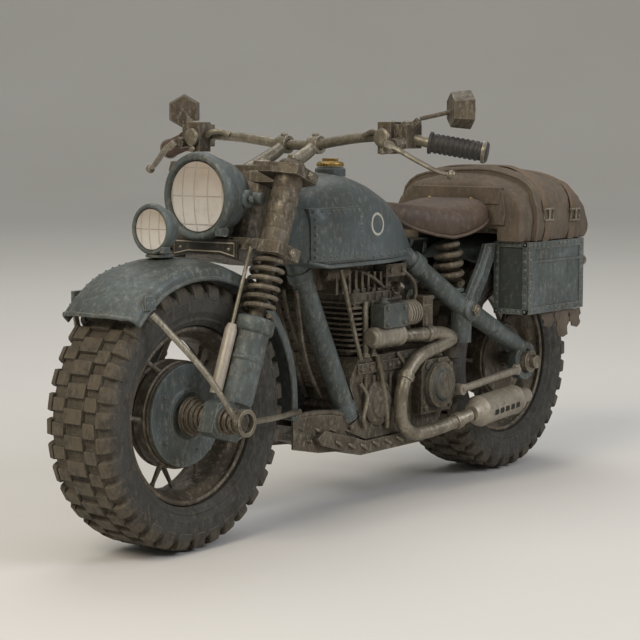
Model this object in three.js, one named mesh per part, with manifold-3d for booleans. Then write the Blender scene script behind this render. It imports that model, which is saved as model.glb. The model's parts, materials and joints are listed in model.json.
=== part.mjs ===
// Tin wind-up motorcycle, millimetres, +Z up. The machine faces -Y and its left side is +X.
// Everything is laid out from the point on the ground midway between the two axles, and the whole
// group is then shifted along Y so that the origin lies under the middle of the machine's length.
import * as THREE from "three";
import { mergeVertices } from "three/addons/utils/BufferGeometryUtils.js";
import Module from "manifold-3d";

const wasm = await Module();
wasm.setup();

// Driving dimensions
const GAP = 0.3;
const WHEELBASE = 210;
const WHEEL_RADIUS = 50;
const WHEEL_FACETS = 34;
const TYRE_HALF_WIDTH = 15.5;
const TREAD_HALF_WIDTH = 11;
const RIM_RADIUS = 33;
const RIM_HALF_WIDTH = 10.4;
const SPOKES = 12;
const SPOKE_RADIUS = 0.8;
const DRUM_RADIUS = 20;
const AXLE_RADIUS = 3;
const RUNNING_CLEARANCE = 0.4;
const RAKE_DEG = 21.1;
const FORK_TRAIL = 16.7;
const FORK_LENGTH = 93.3;
const LEG_OFFSET = 9.8;
const LEG_SPACING = 24;
const LEG_RADIUS = 5.4;
const SLIDER_RADIUS = 6.4;
const STANCHION_RADIUS = 3;
const FORK_TRAVEL = 2;
const SPRING_RADIUS = 5.6;
const SPRING_WIRE = 0.75;
const SPRING_TURNS = 6;
const GUARD_CLEARANCE = 4;
const FENDER_RADIUS = WHEEL_RADIUS + GUARD_CLEARANCE;
const FENDER_HALF_WIDTH = 17.6;
const FENDER_SHEET = 1.1;
const LAMP_RADIUS = 16.4;
const LAMP_LENGTH = 24;
const AUX_LAMP_RADIUS = 9.3;
const BAR_HALF_WIDTH = 80;
const BAR_RADIUS = 2;
const GRIP_RADIUS = 3.6;
const TANK_HALF_WIDTH = 23.5;
const TANK_TOP = 136.4;
const TANK_FLOOR = 100;
const DOWNTUBE_RADIUS = 4.4;
const STAY_RADIUS = 4;
const STAY_OFFSET = 20.6;
const PANNIER_LENGTH = 46;
const PANNIER_WIDTH = 16.8;
const PANNIER_HEIGHT = 31.5;
const PANNIER_WALL = 1.2;
const PANNIER_INNER = 18.2;
const PANNIER_FRONT = 86;
const PANNIER_FLOOR = 73;
const RACK_HEIGHT = 108.9;
const PACK_HALF_WIDTH = 36.8;
const PACK_TOP = 136.6;
const SADDLE_SPRING_X = 13;
const SADDLE_SPRING_Y = 57;
const MUFFLER_RADIUS = 6.4;
const MUFFLER_LENGTH = 38;
const GEAR_MODULE = 1;
const WHEEL_TEETH = 40;
const LAYSHAFT_TEETH = 12;
const REAR_PINION_TEETH = 16;
const GEAR_WIDTH = 2;
const PLATE_THICKNESS = 1;
const MOVEMENT_INNER_PLATE = -26.6;

const REAR_AXLE_Y = WHEELBASE / 2;
const FRONT_AXLE_Y = -WHEELBASE / 2;
const RAKE = THREE.MathUtils.degToRad(RAKE_DEG);
const STEER_UP = new THREE.Vector3(0, Math.sin(RAKE), Math.cos(RAKE));
const STEER_BACK = new THREE.Vector3(0, Math.cos(RAKE), -Math.sin(RAKE));
const HEAD = new THREE.Vector3(0, FRONT_AXLE_Y, WHEEL_RADIUS)
  .addScaledVector(STEER_BACK, FORK_TRAIL)
  .addScaledVector(STEER_UP, FORK_LENGTH);

// Finishes
const finish = (color, roughness, metalness) => () => (
  new THREE.MeshStandardMaterial({ color, roughness, metalness }));
const paint = finish("#5b6a6b", 0.55, 0.3);
const grimyMetal = finish("#6b6352", 0.65, 0.7);
const bareSteel = finish("#8a8474", 0.45, 0.9);
const tyreRubber = finish("#454038", 0.95, 0);
const gripRubber = finish("#1d1c1a", 0.7, 0);
const lensGlass = finish("#c9bdb0", 0.2, 0);
const leather = finish("#5a463a", 0.6, 0);
const canvas = finish("#6b6153", 0.95, 0);
const brass = finish("#8c7440", 0.4, 0.9);
const blackPlate = finish("#26241f", 0.6, 0.2);

// Geometry helpers: every one gives a closed solid
const vec = (p) => new THREE.Vector3(...p);
const at = (geometry, x, y, z) => geometry.translate(x, y, z);
const box = (w, d, h, x, y, z) => at(new THREE.BoxGeometry(w, d, h), x, y, z);

function solid(geometry) {
  const bare = geometry.clone();
  bare.deleteAttribute("normal");
  bare.deleteAttribute("uv");
  const merged = mergeVertices(bare, 1e-4);
  return new wasm.Manifold(new wasm.Mesh({
    numProp: 3,
    vertProperties: new Float32Array(merged.attributes.position.array),
    triVerts: new Uint32Array(merged.index.array),
  }));
}

function surface(manifold) {
  const mesh = manifold.getMesh();
  const geometry = new THREE.BufferGeometry();
  geometry.setAttribute("position", new THREE.BufferAttribute(mesh.vertProperties, 3));
  geometry.setIndex(new THREE.BufferAttribute(mesh.triVerts, 1));
  geometry.computeVertexNormals();
  return geometry;
}

const join = (...parts) => surface(parts.map(solid).reduce((a, b) => a.add(b)));
const cut = (part, ...tools) => surface(
  tools.map(solid).reduce((a, b) => a.subtract(b), solid(part)));
const common = (...parts) => surface(parts.map(solid).reduce((a, b) => a.intersect(b)));

function rod(from, to, radius, sides = 10, endRadius = radius) {
  const a = vec(from);
  const b = vec(to);
  const geometry = new THREE.CylinderGeometry(endRadius, radius, a.distanceTo(b), sides);
  const turn = new THREE.Quaternion().setFromUnitVectors(
    new THREE.Vector3(0, 1, 0), b.clone().sub(a).normalize());
  geometry.applyQuaternion(turn);
  return geometry.translate(...a.add(b).multiplyScalar(0.5).toArray());
}

function disc(radius, sides) {
  const shape = new THREE.Shape();
  for (let i = 0; i < sides; i += 1) {
    const angle = (i / sides) * 2 * Math.PI;
    shape[i ? "lineTo" : "moveTo"](radius * Math.cos(angle), radius * Math.sin(angle));
  }
  shape.closePath();
  return shape;
}

function pipe(points, radius, sides = 8, steps = 12) {
  const path = new THREE.CatmullRomCurve3(points.map(vec), false, "centripetal");
  return new THREE.ExtrudeGeometry(disc(radius, sides), { extrudePath: path, steps });
}

// A profile of [radius, along] pairs turned about an axis; a closed one may be listed either way round
function turned(profile, segments) {
  const points = profile.map(([r, along]) => new THREE.Vector2(r, along));
  if (THREE.ShapeUtils.area(points) < 0) points.reverse();
  return new THREE.LatheGeometry(points, segments);
}

const turnX = (profile, segments) => turned(profile, segments).rotateZ(-Math.PI / 2);
const turnZ = (profile, segments) => turned(profile, segments).rotateX(Math.PI / 2);

function outline(points) {
  return new THREE.Shape(points.map(([u, v]) => new THREE.Vector2(u, v)));
}

// An outline of [y, z] pairs given thickness along X, from x0 to x1
function sidePlate(points, x0, x1) {
  const geometry = new THREE.ExtrudeGeometry(outline(points), { depth: x1 - x0, bevelEnabled: false });
  geometry.rotateY(Math.PI / 2).rotateX(Math.PI / 2);
  return geometry.translate(x0, 0, 0);
}

// An outline of [x, y] pairs given height along Z
function planPlate(points, z0, z1) {
  const geometry = new THREE.ExtrudeGeometry(outline(points), { depth: z1 - z0, bevelEnabled: false });
  return geometry.translate(0, 0, z0);
}

// An outline of [x, z] pairs given depth along Y
function frontPlate(points, y0, y1) {
  const geometry = new THREE.ExtrudeGeometry(outline(points), { depth: y1 - y0, bevelEnabled: false });
  return geometry.rotateX(Math.PI / 2).translate(0, y1, 0);
}

function mesh(parent, name, geometry, material) {
  const piece = new THREE.Mesh(geometry, material());
  piece.name = name;
  parent.add(piece);
  return piece;
}

function group(parent, x = 0, y = 0, z = 0) {
  const made = new THREE.Group();
  made.position.set(x, y, z);
  parent.add(made);
  return made;
}

const motorcycle = new THREE.Group();
const SIDES = [["left", 1], ["right", -1]];

// Wheels: a wide tyre with flat facets, a stepped rim with spokes joined to its brake drum
const VERTEX_RADIUS = WHEEL_RADIUS / Math.cos(Math.PI / WHEEL_FACETS);

function tyre() {
  const bead = RIM_RADIUS + GAP;
  return turnX([
    [bead, -RIM_HALF_WIDTH - 1.6],
    [bead, RIM_HALF_WIDTH + 1.6],
    [RIM_RADIUS + 5, TYRE_HALF_WIDTH - 1],
    [WHEEL_RADIUS - 7, TYRE_HALF_WIDTH],
    [WHEEL_RADIUS - 2.6, TREAD_HALF_WIDTH + 2.6],
    [VERTEX_RADIUS, TREAD_HALF_WIDTH],
    [VERTEX_RADIUS, -TREAD_HALF_WIDTH],
    [WHEEL_RADIUS - 2.6, -TREAD_HALF_WIDTH - 2.6],
    [WHEEL_RADIUS - 7, -TYRE_HALF_WIDTH],
    [RIM_RADIUS + 5, -TYRE_HALF_WIDTH + 1],
    [bead, -RIM_HALF_WIDTH - 1.6],
  ], WHEEL_FACETS).rotateX(Math.PI / WHEEL_FACETS);
}

function rim(drumRadius, drumHalf) {
  const bore = AXLE_RADIUS + RUNNING_CLEARANCE;
  const hoop = turnX([
    [RIM_RADIUS, -RIM_HALF_WIDTH],
    [RIM_RADIUS - 2.4, -RIM_HALF_WIDTH],
    [RIM_RADIUS - 4.6, -RIM_HALF_WIDTH + 4],
    [RIM_RADIUS - 4.6, RIM_HALF_WIDTH - 4],
    [RIM_RADIUS - 2.4, RIM_HALF_WIDTH],
    [RIM_RADIUS, RIM_HALF_WIDTH],
    [RIM_RADIUS, -RIM_HALF_WIDTH],
  ], WHEEL_FACETS);
  const drum = turnX([
    [bore, -drumHalf],
    [drumRadius * 0.6, -drumHalf],
    [drumRadius * 0.72, -drumHalf * 0.45],
    [drumRadius, -drumHalf * 0.3],
    [drumRadius, drumHalf],
    [bore, drumHalf],
    [bore, -drumHalf],
  ], 22);
  const spokes = [];
  for (let i = 0; i < SPOKES; i += 1) {
    const angle = (i / SPOKES) * 2 * Math.PI;
    const lean = (i % 2 ? 1 : -1) * 2.4;
    const radial = [Math.cos(angle), Math.sin(angle)];
    const inner = drumRadius - 2;
    const outer = RIM_RADIUS - 3.6;
    spokes.push(rod(
      [lean + 2, radial[0] * inner, radial[1] * inner],
      [lean * 0.3, radial[0] * outer, radial[1] * outer], SPOKE_RADIUS, 4));
  }
  return join(hoop, drum, ...spokes);
}

const frontWheel = group(motorcycle, 0, FRONT_AXLE_Y, WHEEL_RADIUS);
const DRUM_HALF = 7.4;
mesh(frontWheel, "front_tyre", tyre(), tyreRubber);
mesh(frontWheel, "front_rim", rim(DRUM_RADIUS, DRUM_HALF), grimyMetal);
const CAP_OUTER = DRUM_HALF + GAP + 2.4;
mesh(frontWheel, "front_hub_cap", turnX([
  [AXLE_RADIUS + RUNNING_CLEARANCE, DRUM_HALF + GAP],
  [DRUM_RADIUS - 1, DRUM_HALF + GAP],
  [DRUM_RADIUS - 1.6, DRUM_HALF + GAP + 1.2],
  [DRUM_RADIUS * 0.5, CAP_OUTER],
  [AXLE_RADIUS + RUNNING_CLEARANCE, CAP_OUTER],
  [AXLE_RADIUS + RUNNING_CLEARANCE, DRUM_HALF + GAP],
], 28), paint);

const rearWheel = group(motorcycle, 0, REAR_AXLE_Y, WHEEL_RADIUS);
const REAR_DRUM_HALF = 11;
mesh(rearWheel, "rear_tyre", tyre(), tyreRubber);
mesh(rearWheel, "rear_rim", rim(DRUM_RADIUS - 3, REAR_DRUM_HALF), grimyMetal);

// Fork: everything is laid out in a group whose Z runs up the steering axis from the upper yoke
function forkGroup() {
  const made = group(motorcycle, HEAD.x, HEAD.y, HEAD.z);
  made.rotation.x = -RAKE;
  return made;
}

const fork = forkGroup();
const suspension = forkGroup();
const SPRING_FOOT = -53;
const SPRING_HEAD = -30;
const LOWER_YOKE = -29.5;
const YOKE_DEEP = 4.6;
const SLIDER_FOOT = -FORK_LENGTH - 1;
const FOOT_HALF = 3.4;
const AXLE_END = LEG_SPACING + 12;

function yoke() {
  const stem = rod([0, 0, LOWER_YOKE + 1], [0, 0, 5], STANCHION_RADIUS, 12);
  const plate = (z0, z1, ring) => planPlate([
    [-LEG_SPACING - ring, -LEG_OFFSET - ring + 2],
    [-LEG_SPACING + 3, -LEG_OFFSET - ring],
    [LEG_SPACING - 3, -LEG_OFFSET - ring],
    [LEG_SPACING + ring, -LEG_OFFSET - ring + 2],
    [LEG_SPACING + ring, -LEG_OFFSET + ring - 1],
    [8, 5.4],
    [-8, 5.4],
    [-LEG_SPACING - ring, -LEG_OFFSET + ring - 1],
  ], z0, z1);
  const lampRecess = box(2 * LAMP_RADIUS - 3, 20, 8, 0, -15.4, 3);
  const holes = SIDES.map(([, s]) => rod(
    [s * LEG_SPACING, -LEG_OFFSET, LOWER_YOKE - 9],
    [s * LEG_SPACING, -LEG_OFFSET, 20], LEG_RADIUS + GAP, 14));
  const plates = [plate(LOWER_YOKE, LOWER_YOKE + YOKE_DEEP, 8), plate(1, 5, 8)];
  return cut(join(stem, ...plates), lampRecess, ...holes);
}
mesh(fork, "fork_yokes", yoke(), grimyMetal);

for (const [side, s] of SIDES) {
  const x = s * LEG_SPACING;
  mesh(fork, `fork_leg_${side}`, at(turnZ([
    [0, -80],
    [STANCHION_RADIUS, -80],
    [STANCHION_RADIUS, SPRING_HEAD + GAP],
    [LEG_RADIUS, SPRING_HEAD + GAP],
    [LEG_RADIUS, 6],
    [LEG_RADIUS - 1.4, 8],
    [0, 8],
  ], 14), x, -LEG_OFFSET, 0), grimyMetal);

  const bore = STANCHION_RADIUS + GAP;
  const tube = turnZ([
    [0, SLIDER_FOOT + 8],
    [SLIDER_RADIUS, SLIDER_FOOT + 8],
    [SLIDER_RADIUS, SPRING_FOOT - 5],
    [SLIDER_RADIUS + 1.2, SPRING_FOOT - 4],
    [SLIDER_RADIUS + 1.2, SPRING_FOOT - GAP],
    [bore, SPRING_FOOT - GAP],
    [bore, -80 - FORK_TRAVEL - 1],
    [0, -80 - FORK_TRAVEL - 1],
  ], 14);
  const foot = sidePlate([
    [-FORK_TRAIL - 6, -FORK_LENGTH - 6],
    [-LEG_OFFSET + 5, -FORK_LENGTH - 5],
    [-LEG_OFFSET + 6, -FORK_LENGTH + 8],
    [-LEG_OFFSET - 5, -FORK_LENGTH + 9],
    [-FORK_TRAIL - 6, -FORK_LENGTH + 5],
  ], x - FOOT_HALF, x + FOOT_HALF);
  const damper = rod([x - s * 3, -FORK_TRAIL - 1, -FORK_LENGTH + 8.6],
    [x - s * 3, -LEG_OFFSET - SLIDER_RADIUS - 1.4, -58], 2.2, 10, 1.9);
  const damperEye = box(4, 5, 3, x - s * 3, -LEG_OFFSET - SLIDER_RADIUS + 0.5, -60);
  const axleHole = rod([x - 9, -FORK_TRAIL, -FORK_LENGTH], [x + 9, -FORK_TRAIL, -FORK_LENGTH],
    AXLE_RADIUS + GAP, 16);
  const pieces = s > 0 ? [at(tube, x, -LEG_OFFSET, 0), foot, damper, damperEye]
    : [at(tube, x, -LEG_OFFSET, 0), foot];
  mesh(suspension, `fork_slider_${side}`, cut(join(...pieces), axleHole), paint);

  const coil = [];
  const coilFoot = SPRING_FOOT + SPRING_WIRE + GAP;
  const coilRise = SPRING_HEAD - SPRING_WIRE - GAP - coilFoot;
  for (let i = 0; i <= SPRING_TURNS * 8; i += 1) {
    const angle = (i / 8) * 2 * Math.PI;
    coil.push([
      SPRING_RADIUS * Math.cos(angle) + x,
      SPRING_RADIUS * Math.sin(angle) - LEG_OFFSET,
      coilFoot + (i / (SPRING_TURNS * 8)) * coilRise,
    ]);
  }
  mesh(fork, `fork_spring_${side}`, pipe(coil, SPRING_WIRE, 4, SPRING_TURNS * 7), bareSteel);
}

// Front axle: a turned spindle with ribbed ends outside the fork feet
function axleEnd(s) {
  const ribs = [];
  const start = LEG_SPACING + FOOT_HALF + GAP;
  for (let i = 0; i < 3; i += 1) {
    ribs.push(rod([s * (start + i * 2.6), 0, 0], [s * (start + i * 2.6 + 1.4), 0, 0], 5 - i * 0.5, 8));
  }
  const cone = rod([s * (CAP_OUTER + 0.8), 0, 0], [s * (LEG_SPACING - FOOT_HALF - GAP), 0, 0], 7.6, 12, 4.6);
  return [...ribs, cone];
}
const spindle = rod([-AXLE_END, 0, 0], [AXLE_END, 0, 0], AXLE_RADIUS, 12);
const frontSpindle = group(motorcycle, 0, FRONT_AXLE_Y, WHEEL_RADIUS);
mesh(frontSpindle, "front_axle", join(spindle, ...axleEnd(1), ...axleEnd(-1)), grimyMetal);

// Mudguards: a crowned channel bent round the wheel
function fenderSection(shrink) {
  const w = FENDER_HALF_WIDTH - shrink;
  const t = shrink;
  return [
    [-w, -3.4], [-w + 0.4, 0.6 - t * 0.4], [-w + 5, 2.4 - t], [0, 3.4 - t],
    [w - 5, 2.4 - t], [w - 0.4, 0.6 - t * 0.4], [w, -3.4],
  ];
}

function fender(centre, startDeg, endDeg, steps, flare) {
  class Arc extends THREE.Curve {
    getPoint(t) {
      const angle = THREE.MathUtils.degToRad(startDeg + (endDeg - startDeg) * t);
      const grow = FENDER_RADIUS + flare(t);
      return new THREE.Vector3(0, centre + Math.sin(angle) * grow, WHEEL_RADIUS + Math.cos(angle) * grow);
    }
  }
  const loop = [...fenderSection(0), ...fenderSection(FENDER_SHEET).reverse()];
  return new THREE.ExtrudeGeometry(outline(loop), { extrudePath: new Arc(), steps });
}

const tipDroop = (t) => -Math.max(0, 0.14 - t) * 8;
mesh(motorcycle, "front_fender", fender(FRONT_AXLE_Y, -43.5, 98, 17, tipDroop), paint);

function axleStay(s) {
  const out = LEG_SPACING + FOOT_HALF + GAP + 10;
  const across = (x0, x1, radius, sides) => rod(
    [s * x0, FRONT_AXLE_Y, WHEEL_RADIUS], [s * x1, FRONT_AXLE_Y, WHEEL_RADIUS], radius, sides);
  const eye = cut(across(out, out - 2, 5, 12), across(out + 3, out - 6, AXLE_RADIUS + GAP, 14));
  const edge = FENDER_HALF_WIDTH + GAP + 1;
  const front = pipe([
    [s * (out - 1), FRONT_AXLE_Y - 4, WHEEL_RADIUS + 1],
    [s * (edge + 8), FRONT_AXLE_Y - 17, WHEEL_RADIUS + 21],
    [s * edge, FRONT_AXLE_Y - 28.5, WHEEL_RADIUS + 40],
  ], 1, 5, 5);
  const rear = pipe([
    [s * (out - 1), FRONT_AXLE_Y + 4, WHEEL_RADIUS],
    [s * (edge + 8), FRONT_AXLE_Y + 26, WHEEL_RADIUS - 3],
    [s * edge, FRONT_AXLE_Y + 53, WHEEL_RADIUS - 4],
  ], 1, 5, 5);
  return join(eye, front, rear);
}

for (const [side, s] of SIDES) {
  mesh(motorcycle, `fender_stay_${side}`, axleStay(s), bareSteel);
}


// Auxiliary lamp on the front mudguard
const AUX_Y = FRONT_AXLE_Y - 8;
const GUARD_CROWN = WHEEL_RADIUS + FENDER_RADIUS + 3.5;
const AUX_Z = GUARD_CROWN + 10.5;
const auxBody = turnX([
  [0, -11.4], [4, -10.6], [AUX_LAMP_RADIUS - 2.4, -6], [AUX_LAMP_RADIUS - 1, -1.6],
  [AUX_LAMP_RADIUS, -1], [AUX_LAMP_RADIUS, 1.6], [AUX_LAMP_RADIUS - 1.6, 1.6],
  [AUX_LAMP_RADIUS - 1.8, -1], [0, -1],
], 20);
const auxPost = rod([0, AUX_Y + 5, AUX_Z - 5], [0, AUX_Y + 5, GUARD_CROWN + GAP], 2.4, 8);
const auxShell = at(auxBody.rotateZ(-Math.PI / 2), 0, AUX_Y, AUX_Z);
mesh(motorcycle, "aux_lamp_shell", join(auxShell, auxPost), paint);
mesh(motorcycle, "aux_lamp_lens", at(turnX([
  [0, -1 + GAP], [AUX_LAMP_RADIUS - 2.2, -1 + GAP], [AUX_LAMP_RADIUS - 2.2, 0.6],
  [AUX_LAMP_RADIUS * 0.5, 1.5], [0, 1.8],
], 20).rotateZ(-Math.PI / 2), 0, AUX_Y, AUX_Z), lensGlass);

// Headlamp, dark plate and handlebar, placed from the top of the steering stem
const bars = group(motorcycle, HEAD.x, HEAD.y, HEAD.z);
const LAMP_FACE = -34;
const lampShell = turnX([
  [0, -LAMP_LENGTH], [5, -LAMP_LENGTH + 0.8], [LAMP_RADIUS * 0.68, -LAMP_LENGTH * 0.7],
  [LAMP_RADIUS * 0.88, -LAMP_LENGTH * 0.34], [LAMP_RADIUS * 0.94, -4.4], [LAMP_RADIUS, -4],
  [LAMP_RADIUS, 0], [LAMP_RADIUS - 3, 0.4], [LAMP_RADIUS - 3.2, -3], [0, -3],
], 22).rotateZ(-Math.PI / 2).translate(0, LAMP_FACE, -2);
const earReach = LEG_SPACING - LEG_RADIUS - GAP;
const lampEars = SIDES.map(([, s]) => box(5.4, 5, 5, s * (earReach - 2.7), -17, -3));
const earBars = lampEars.concat(box(2 * earReach - 4, 4, 4, 0, -17, -3));
mesh(bars, "headlamp_shell", join(lampShell, ...earBars), paint);
mesh(bars, "headlamp_lens", turnX([
  [0, -3 + GAP], [LAMP_RADIUS - 3.5, -3 + GAP], [LAMP_RADIUS - 3.5, -1],
  [LAMP_RADIUS * 0.55, 0.4], [0, 0.9],
], 22).rotateZ(-Math.PI / 2).translate(0, LAMP_FACE, -2), lensGlass);
mesh(bars, "front_plate", frontPlate([
  [-16, -25.2], [-8, -23.6], [8, -23.6], [16, -25.2], [16, -17.7], [-16, -17.7],
], -29.4, -28.2), blackPlate);

const BAR_BACK = 27.5;
const BAR_RISE = 13;
const BAR_CENTRE = 16.6;
const GRIP_IN = BAR_HALF_WIDTH - 20;
const barSpan = (s) => [
  [s * (BAR_HALF_WIDTH - 1), BAR_BACK + 10, BAR_RISE + 1.4],
  [s * GRIP_IN, BAR_BACK + 0.6, BAR_RISE + 5],
  [s * 50, BAR_BACK - 1, BAR_RISE + 7.4],
  [s * 28, BAR_BACK - 1, BAR_RISE + 6.2],
];
const barMiddle = [[-8, BAR_BACK, BAR_CENTRE], [8, BAR_BACK, BAR_CENTRE]];
const barPath = [...barSpan(-1), ...barMiddle, ...barSpan(1).reverse()];
const risers = SIDES.map(([, s]) => pipe([
  [s * 8, 5, 6.4], [s * 8, 14, 9.6], [s * 8, BAR_BACK - 1, BAR_CENTRE - 1],
], 2.6, 6, 4));
const riserFoot = box(22, 8, 3, 0, 4.2, 7.6);
mesh(bars, "handlebar", join(pipe(barPath, BAR_RADIUS, 6, 22), ...risers, riserFoot), bareSteel);

const gripStart = (s) => new THREE.Vector3(s * GRIP_IN, BAR_BACK + 0.6, BAR_RISE + 5);
const gripEnd = (s) => new THREE.Vector3(s * BAR_HALF_WIDTH, BAR_BACK + 10.5, BAR_RISE + 1.2);
for (const [side, s] of SIDES) {
  const a = gripStart(s);
  const b = gripEnd(s);
  const along = b.clone().sub(a).normalize();
  const near = a.clone().addScaledVector(along, 1.4).toArray();
  const far = b.clone().addScaledVector(along, 1.2).toArray();
  const bore = pipe(barPath, BAR_RADIUS + GAP, 6, 22);
  mesh(bars, `grip_${side}`, cut(rod(near, far, GRIP_RADIUS, 14), bore), s > 0 ? gripRubber : leather);

  const x = s * 52;
  const cluster = join(
    box(9, 10, 9, x, BAR_BACK - 2, BAR_RISE + 7),
    box(6, 7, 12, x - s * 4, BAR_BACK - 6, BAR_RISE + 6.5),
    rod([x + s * 2, BAR_BACK - 12, BAR_RISE + 4], [x + s * 2, BAR_BACK - 2, BAR_RISE + 5], 2.4, 8),
    rod([x + s * 3, BAR_BACK - 2, BAR_RISE + 10], [x + s * 6, BAR_BACK - 1, BAR_RISE + 13], 1.6, 8));
  mesh(bars, `control_${side}`, cut(cluster, bore), grimyMetal);

  const blade = pipe([
    [x + s * 2.6, BAR_BACK - 15, BAR_RISE + 3], [x + s * 9, BAR_BACK - 13, BAR_RISE + 0.6],
    [x + s * 24, BAR_BACK - 5.6, BAR_RISE - 7],
  ], 1.3, 6, 6);
  const knob = new THREE.SphereGeometry(1.9, 8, 6).translate(x + s * 24, BAR_BACK - 5.6, BAR_RISE - 7);
  mesh(bars, s > 0 ? "clutch_lever" : "brake_lever", join(blade, knob), bareSteel);

  const stemFoot = [x + s * 6.3, BAR_BACK - 0.9, BAR_RISE + 13 + GAP * 2];
  const headCentre = [s * 70, BAR_BACK + 9, BAR_RISE + 17];
  const head = rod([headCentre[0] - s * 2.6, headCentre[1] - 3, headCentre[2]],
    [headCentre[0] + s * 2.6, headCentre[1] + 3, headCentre[2]], 6.6, 6, 7.4);
  mesh(bars, `mirror_${side}`, join(rod(stemFoot, headCentre, 0.9, 6), head), grimyMetal);
}

// Frame: head tube, spine, cross tube and seat tube in one welding
const headFoot = HEAD.clone().addScaledVector(STEER_UP, LOWER_YOKE + YOKE_DEEP + GAP);
const headTop = HEAD.clone().addScaledVector(STEER_UP, 1 - GAP);
const spineFront = HEAD.clone().addScaledVector(STEER_UP, -18).addScaledVector(STEER_BACK, 4);
const STAY_TOP = [11.4, 34, 97];
const spine = pipe([spineFront.toArray(), [0, -10, 105], [0, 34, 97]], 4, 8, 8);
const headTube = cut(
  rod(headFoot.toArray(), headTop.toArray(), 6.4, 14),
  rod(headFoot.clone().addScaledVector(STEER_UP, -5).toArray(),
    headTop.clone().addScaledVector(STEER_UP, 5).toArray(), STANCHION_RADIUS + RUNNING_CLEARANCE, 14));
const spineTrimmed = cut(spine, rod(headFoot.toArray(), headTop.toArray(), 5, 14));
const crossTube = rod([-STAY_TOP[0] + STAY_RADIUS, 34, 97], [STAY_TOP[0] - STAY_RADIUS, 34, 97], 3.4, 8);
const seatTube = rod([0, 35, 95], [0, 43, 64], 3.4, 8);
const lug = box(20, 9, 3, 0, -41, 103.4);
const lugWeb = box(4, 9, 9, 0, -41, 107);
mesh(motorcycle, "main_frame", join(headTube, spineTrimmed, crossTube, seatTube, lug, lugWeb), grimyMetal);

const ENGINE_TOP = 62;
const CASE_HALF = 15;
for (const [side, s] of SIDES) {
  mesh(motorcycle, `downtube_${side}`,
    rod([s * 8.06, -40, 99.8], [s * 12, -13, 37.6], DOWNTUBE_RADIUS, 12), paint);

  const reach = s * STAY_OFFSET;
  const upper = rod([s * STAY_TOP[0], STAY_TOP[1], STAY_TOP[2]], [reach, 60, 76], STAY_RADIUS, 10);
  const lower = rod([reach, 58, 77.4], [reach, REAR_AXLE_Y - 2, WHEEL_RADIUS + 6.4], STAY_RADIUS, 10);
  const strut = rod([reach - s * 2, 59, 76], [reach - s * 2, 58, 62.6], 4.4, 10);
  const eye = rod(
    [reach - s * 2.4, REAR_AXLE_Y, WHEEL_RADIUS], [reach + s * 2.4, REAR_AXLE_Y, WHEEL_RADIUS], 8.4, 14);
  const bladeOutline = [[58, 79], [64, 74], [76, 88], [82, 98], [83.4, 104], [74, 104], [70, 96]];
  const blade = s > 0 ? sidePlate(bladeOutline, reach - 2.4, reach - 0.4)
    : sidePlate(bladeOutline, reach + 0.4, reach + 2.4);
  const springSeat = rod(
    [s * SADDLE_SPRING_X, SADDLE_SPRING_Y, 84], [s * SADDLE_SPRING_X, SADDLE_SPRING_Y, 86], 6.8, 10);
  const seatArm = box(7, 6, 4, s * 16.4, SADDLE_SPRING_Y, 81.6);
  const hole = rod([0, REAR_AXLE_Y, WHEEL_RADIUS], [s * 40, REAR_AXLE_Y, WHEEL_RADIUS], 5.4, 16);
  const welded = join(upper, lower, strut, eye, blade, springSeat, seatArm);
  mesh(motorcycle, `rear_stay_${side}`, cut(welded, hole), paint);
}

// Fuel tank: side, plan and front outlines crossed, hollowed below for the spine and its lug
const tankSide = [
  [-53, 108], [-54, 120], [-50, 128], [-40, 133], [-20, TANK_TOP], [-6, 133.5], [6, 128.6], [17, 122],
  [28, 111.6], [38, 101], [40, TANK_FLOOR], [-38, TANK_FLOOR], [-49, 102],
];
const w = TANK_HALF_WIDTH;
const tankPlan = [
  [-w * 0.62, -55], [-w, -44], [-w, -10], [-w * 0.9, 6], [-w * 0.7, 20], [-w * 0.42, 34], [-w * 0.3, 41],
  [w * 0.3, 41], [w * 0.42, 34], [w * 0.7, 20], [w * 0.9, 6], [w, -10], [w, -44], [w * 0.62, -55],
];
const tankFront = [
  [-w + 2, TANK_FLOOR - 1], [-w, 106], [-w, 119], [-w + 3, 126.5], [-w * 0.62, 132], [-w * 0.3, 135.6],
  [0, TANK_TOP + 0.6],
  [w * 0.3, 135.6], [w * 0.62, 132], [w - 3, 126.5], [w, 119], [w, 106], [w - 2, TANK_FLOOR - 1],
];
const tankBody = common(
  sidePlate(tankSide, -w - 2, w + 2), planPlate(tankPlan, 90, 140), frontPlate(tankFront, -60, 60));
const panels = SIDES.map(([, s]) => box(2, 29, 20, s * (w - 0.1), -31, 113.5));
const filler = rod([0, -9, 130], [0, -9, 138.4], 4.6, 14);
const spineRoom = pipe([spineFront.toArray(), [0, -10, 105], [0, 34, 97]], 4 + GAP + 0.2, 8, 8);
const spineSlot = sidePlate([[-60, 90], [-60, 113], [-10, 105], [34, 97], [60, 97], [60, 90]], -4.4, 4.4);
const lugRoom = box(20 + 1, 10, 14, 0, -41, 98.4);
const stayRoom = SIDES.map(([, s]) => rod(
  [s * (STAY_TOP[0] - 1), 31, 99], [s * (STAY_OFFSET + 1), 61, 75], STAY_RADIUS + 0.6, 10));
const crossRoom = rod([-STAY_TOP[0], 34, 97], [STAY_TOP[0], 34, 97], 3.4 + 0.5, 8);
const tubeRoom = SIDES.map(([, s]) => rod(
  [s * 7.94, -41, 102.4], [s * 12, -13, 37.6], DOWNTUBE_RADIUS + 0.4, 14));
const headRoom = rod(headFoot.toArray(), headTop.clone().addScaledVector(STEER_UP, 9).toArray(), 8, 14);
mesh(motorcycle, "fuel_tank", cut(join(tankBody, ...panels, filler),
  spineRoom, spineSlot, lugRoom, crossRoom, headRoom, ...stayRoom, ...tubeRoom), paint);
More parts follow.
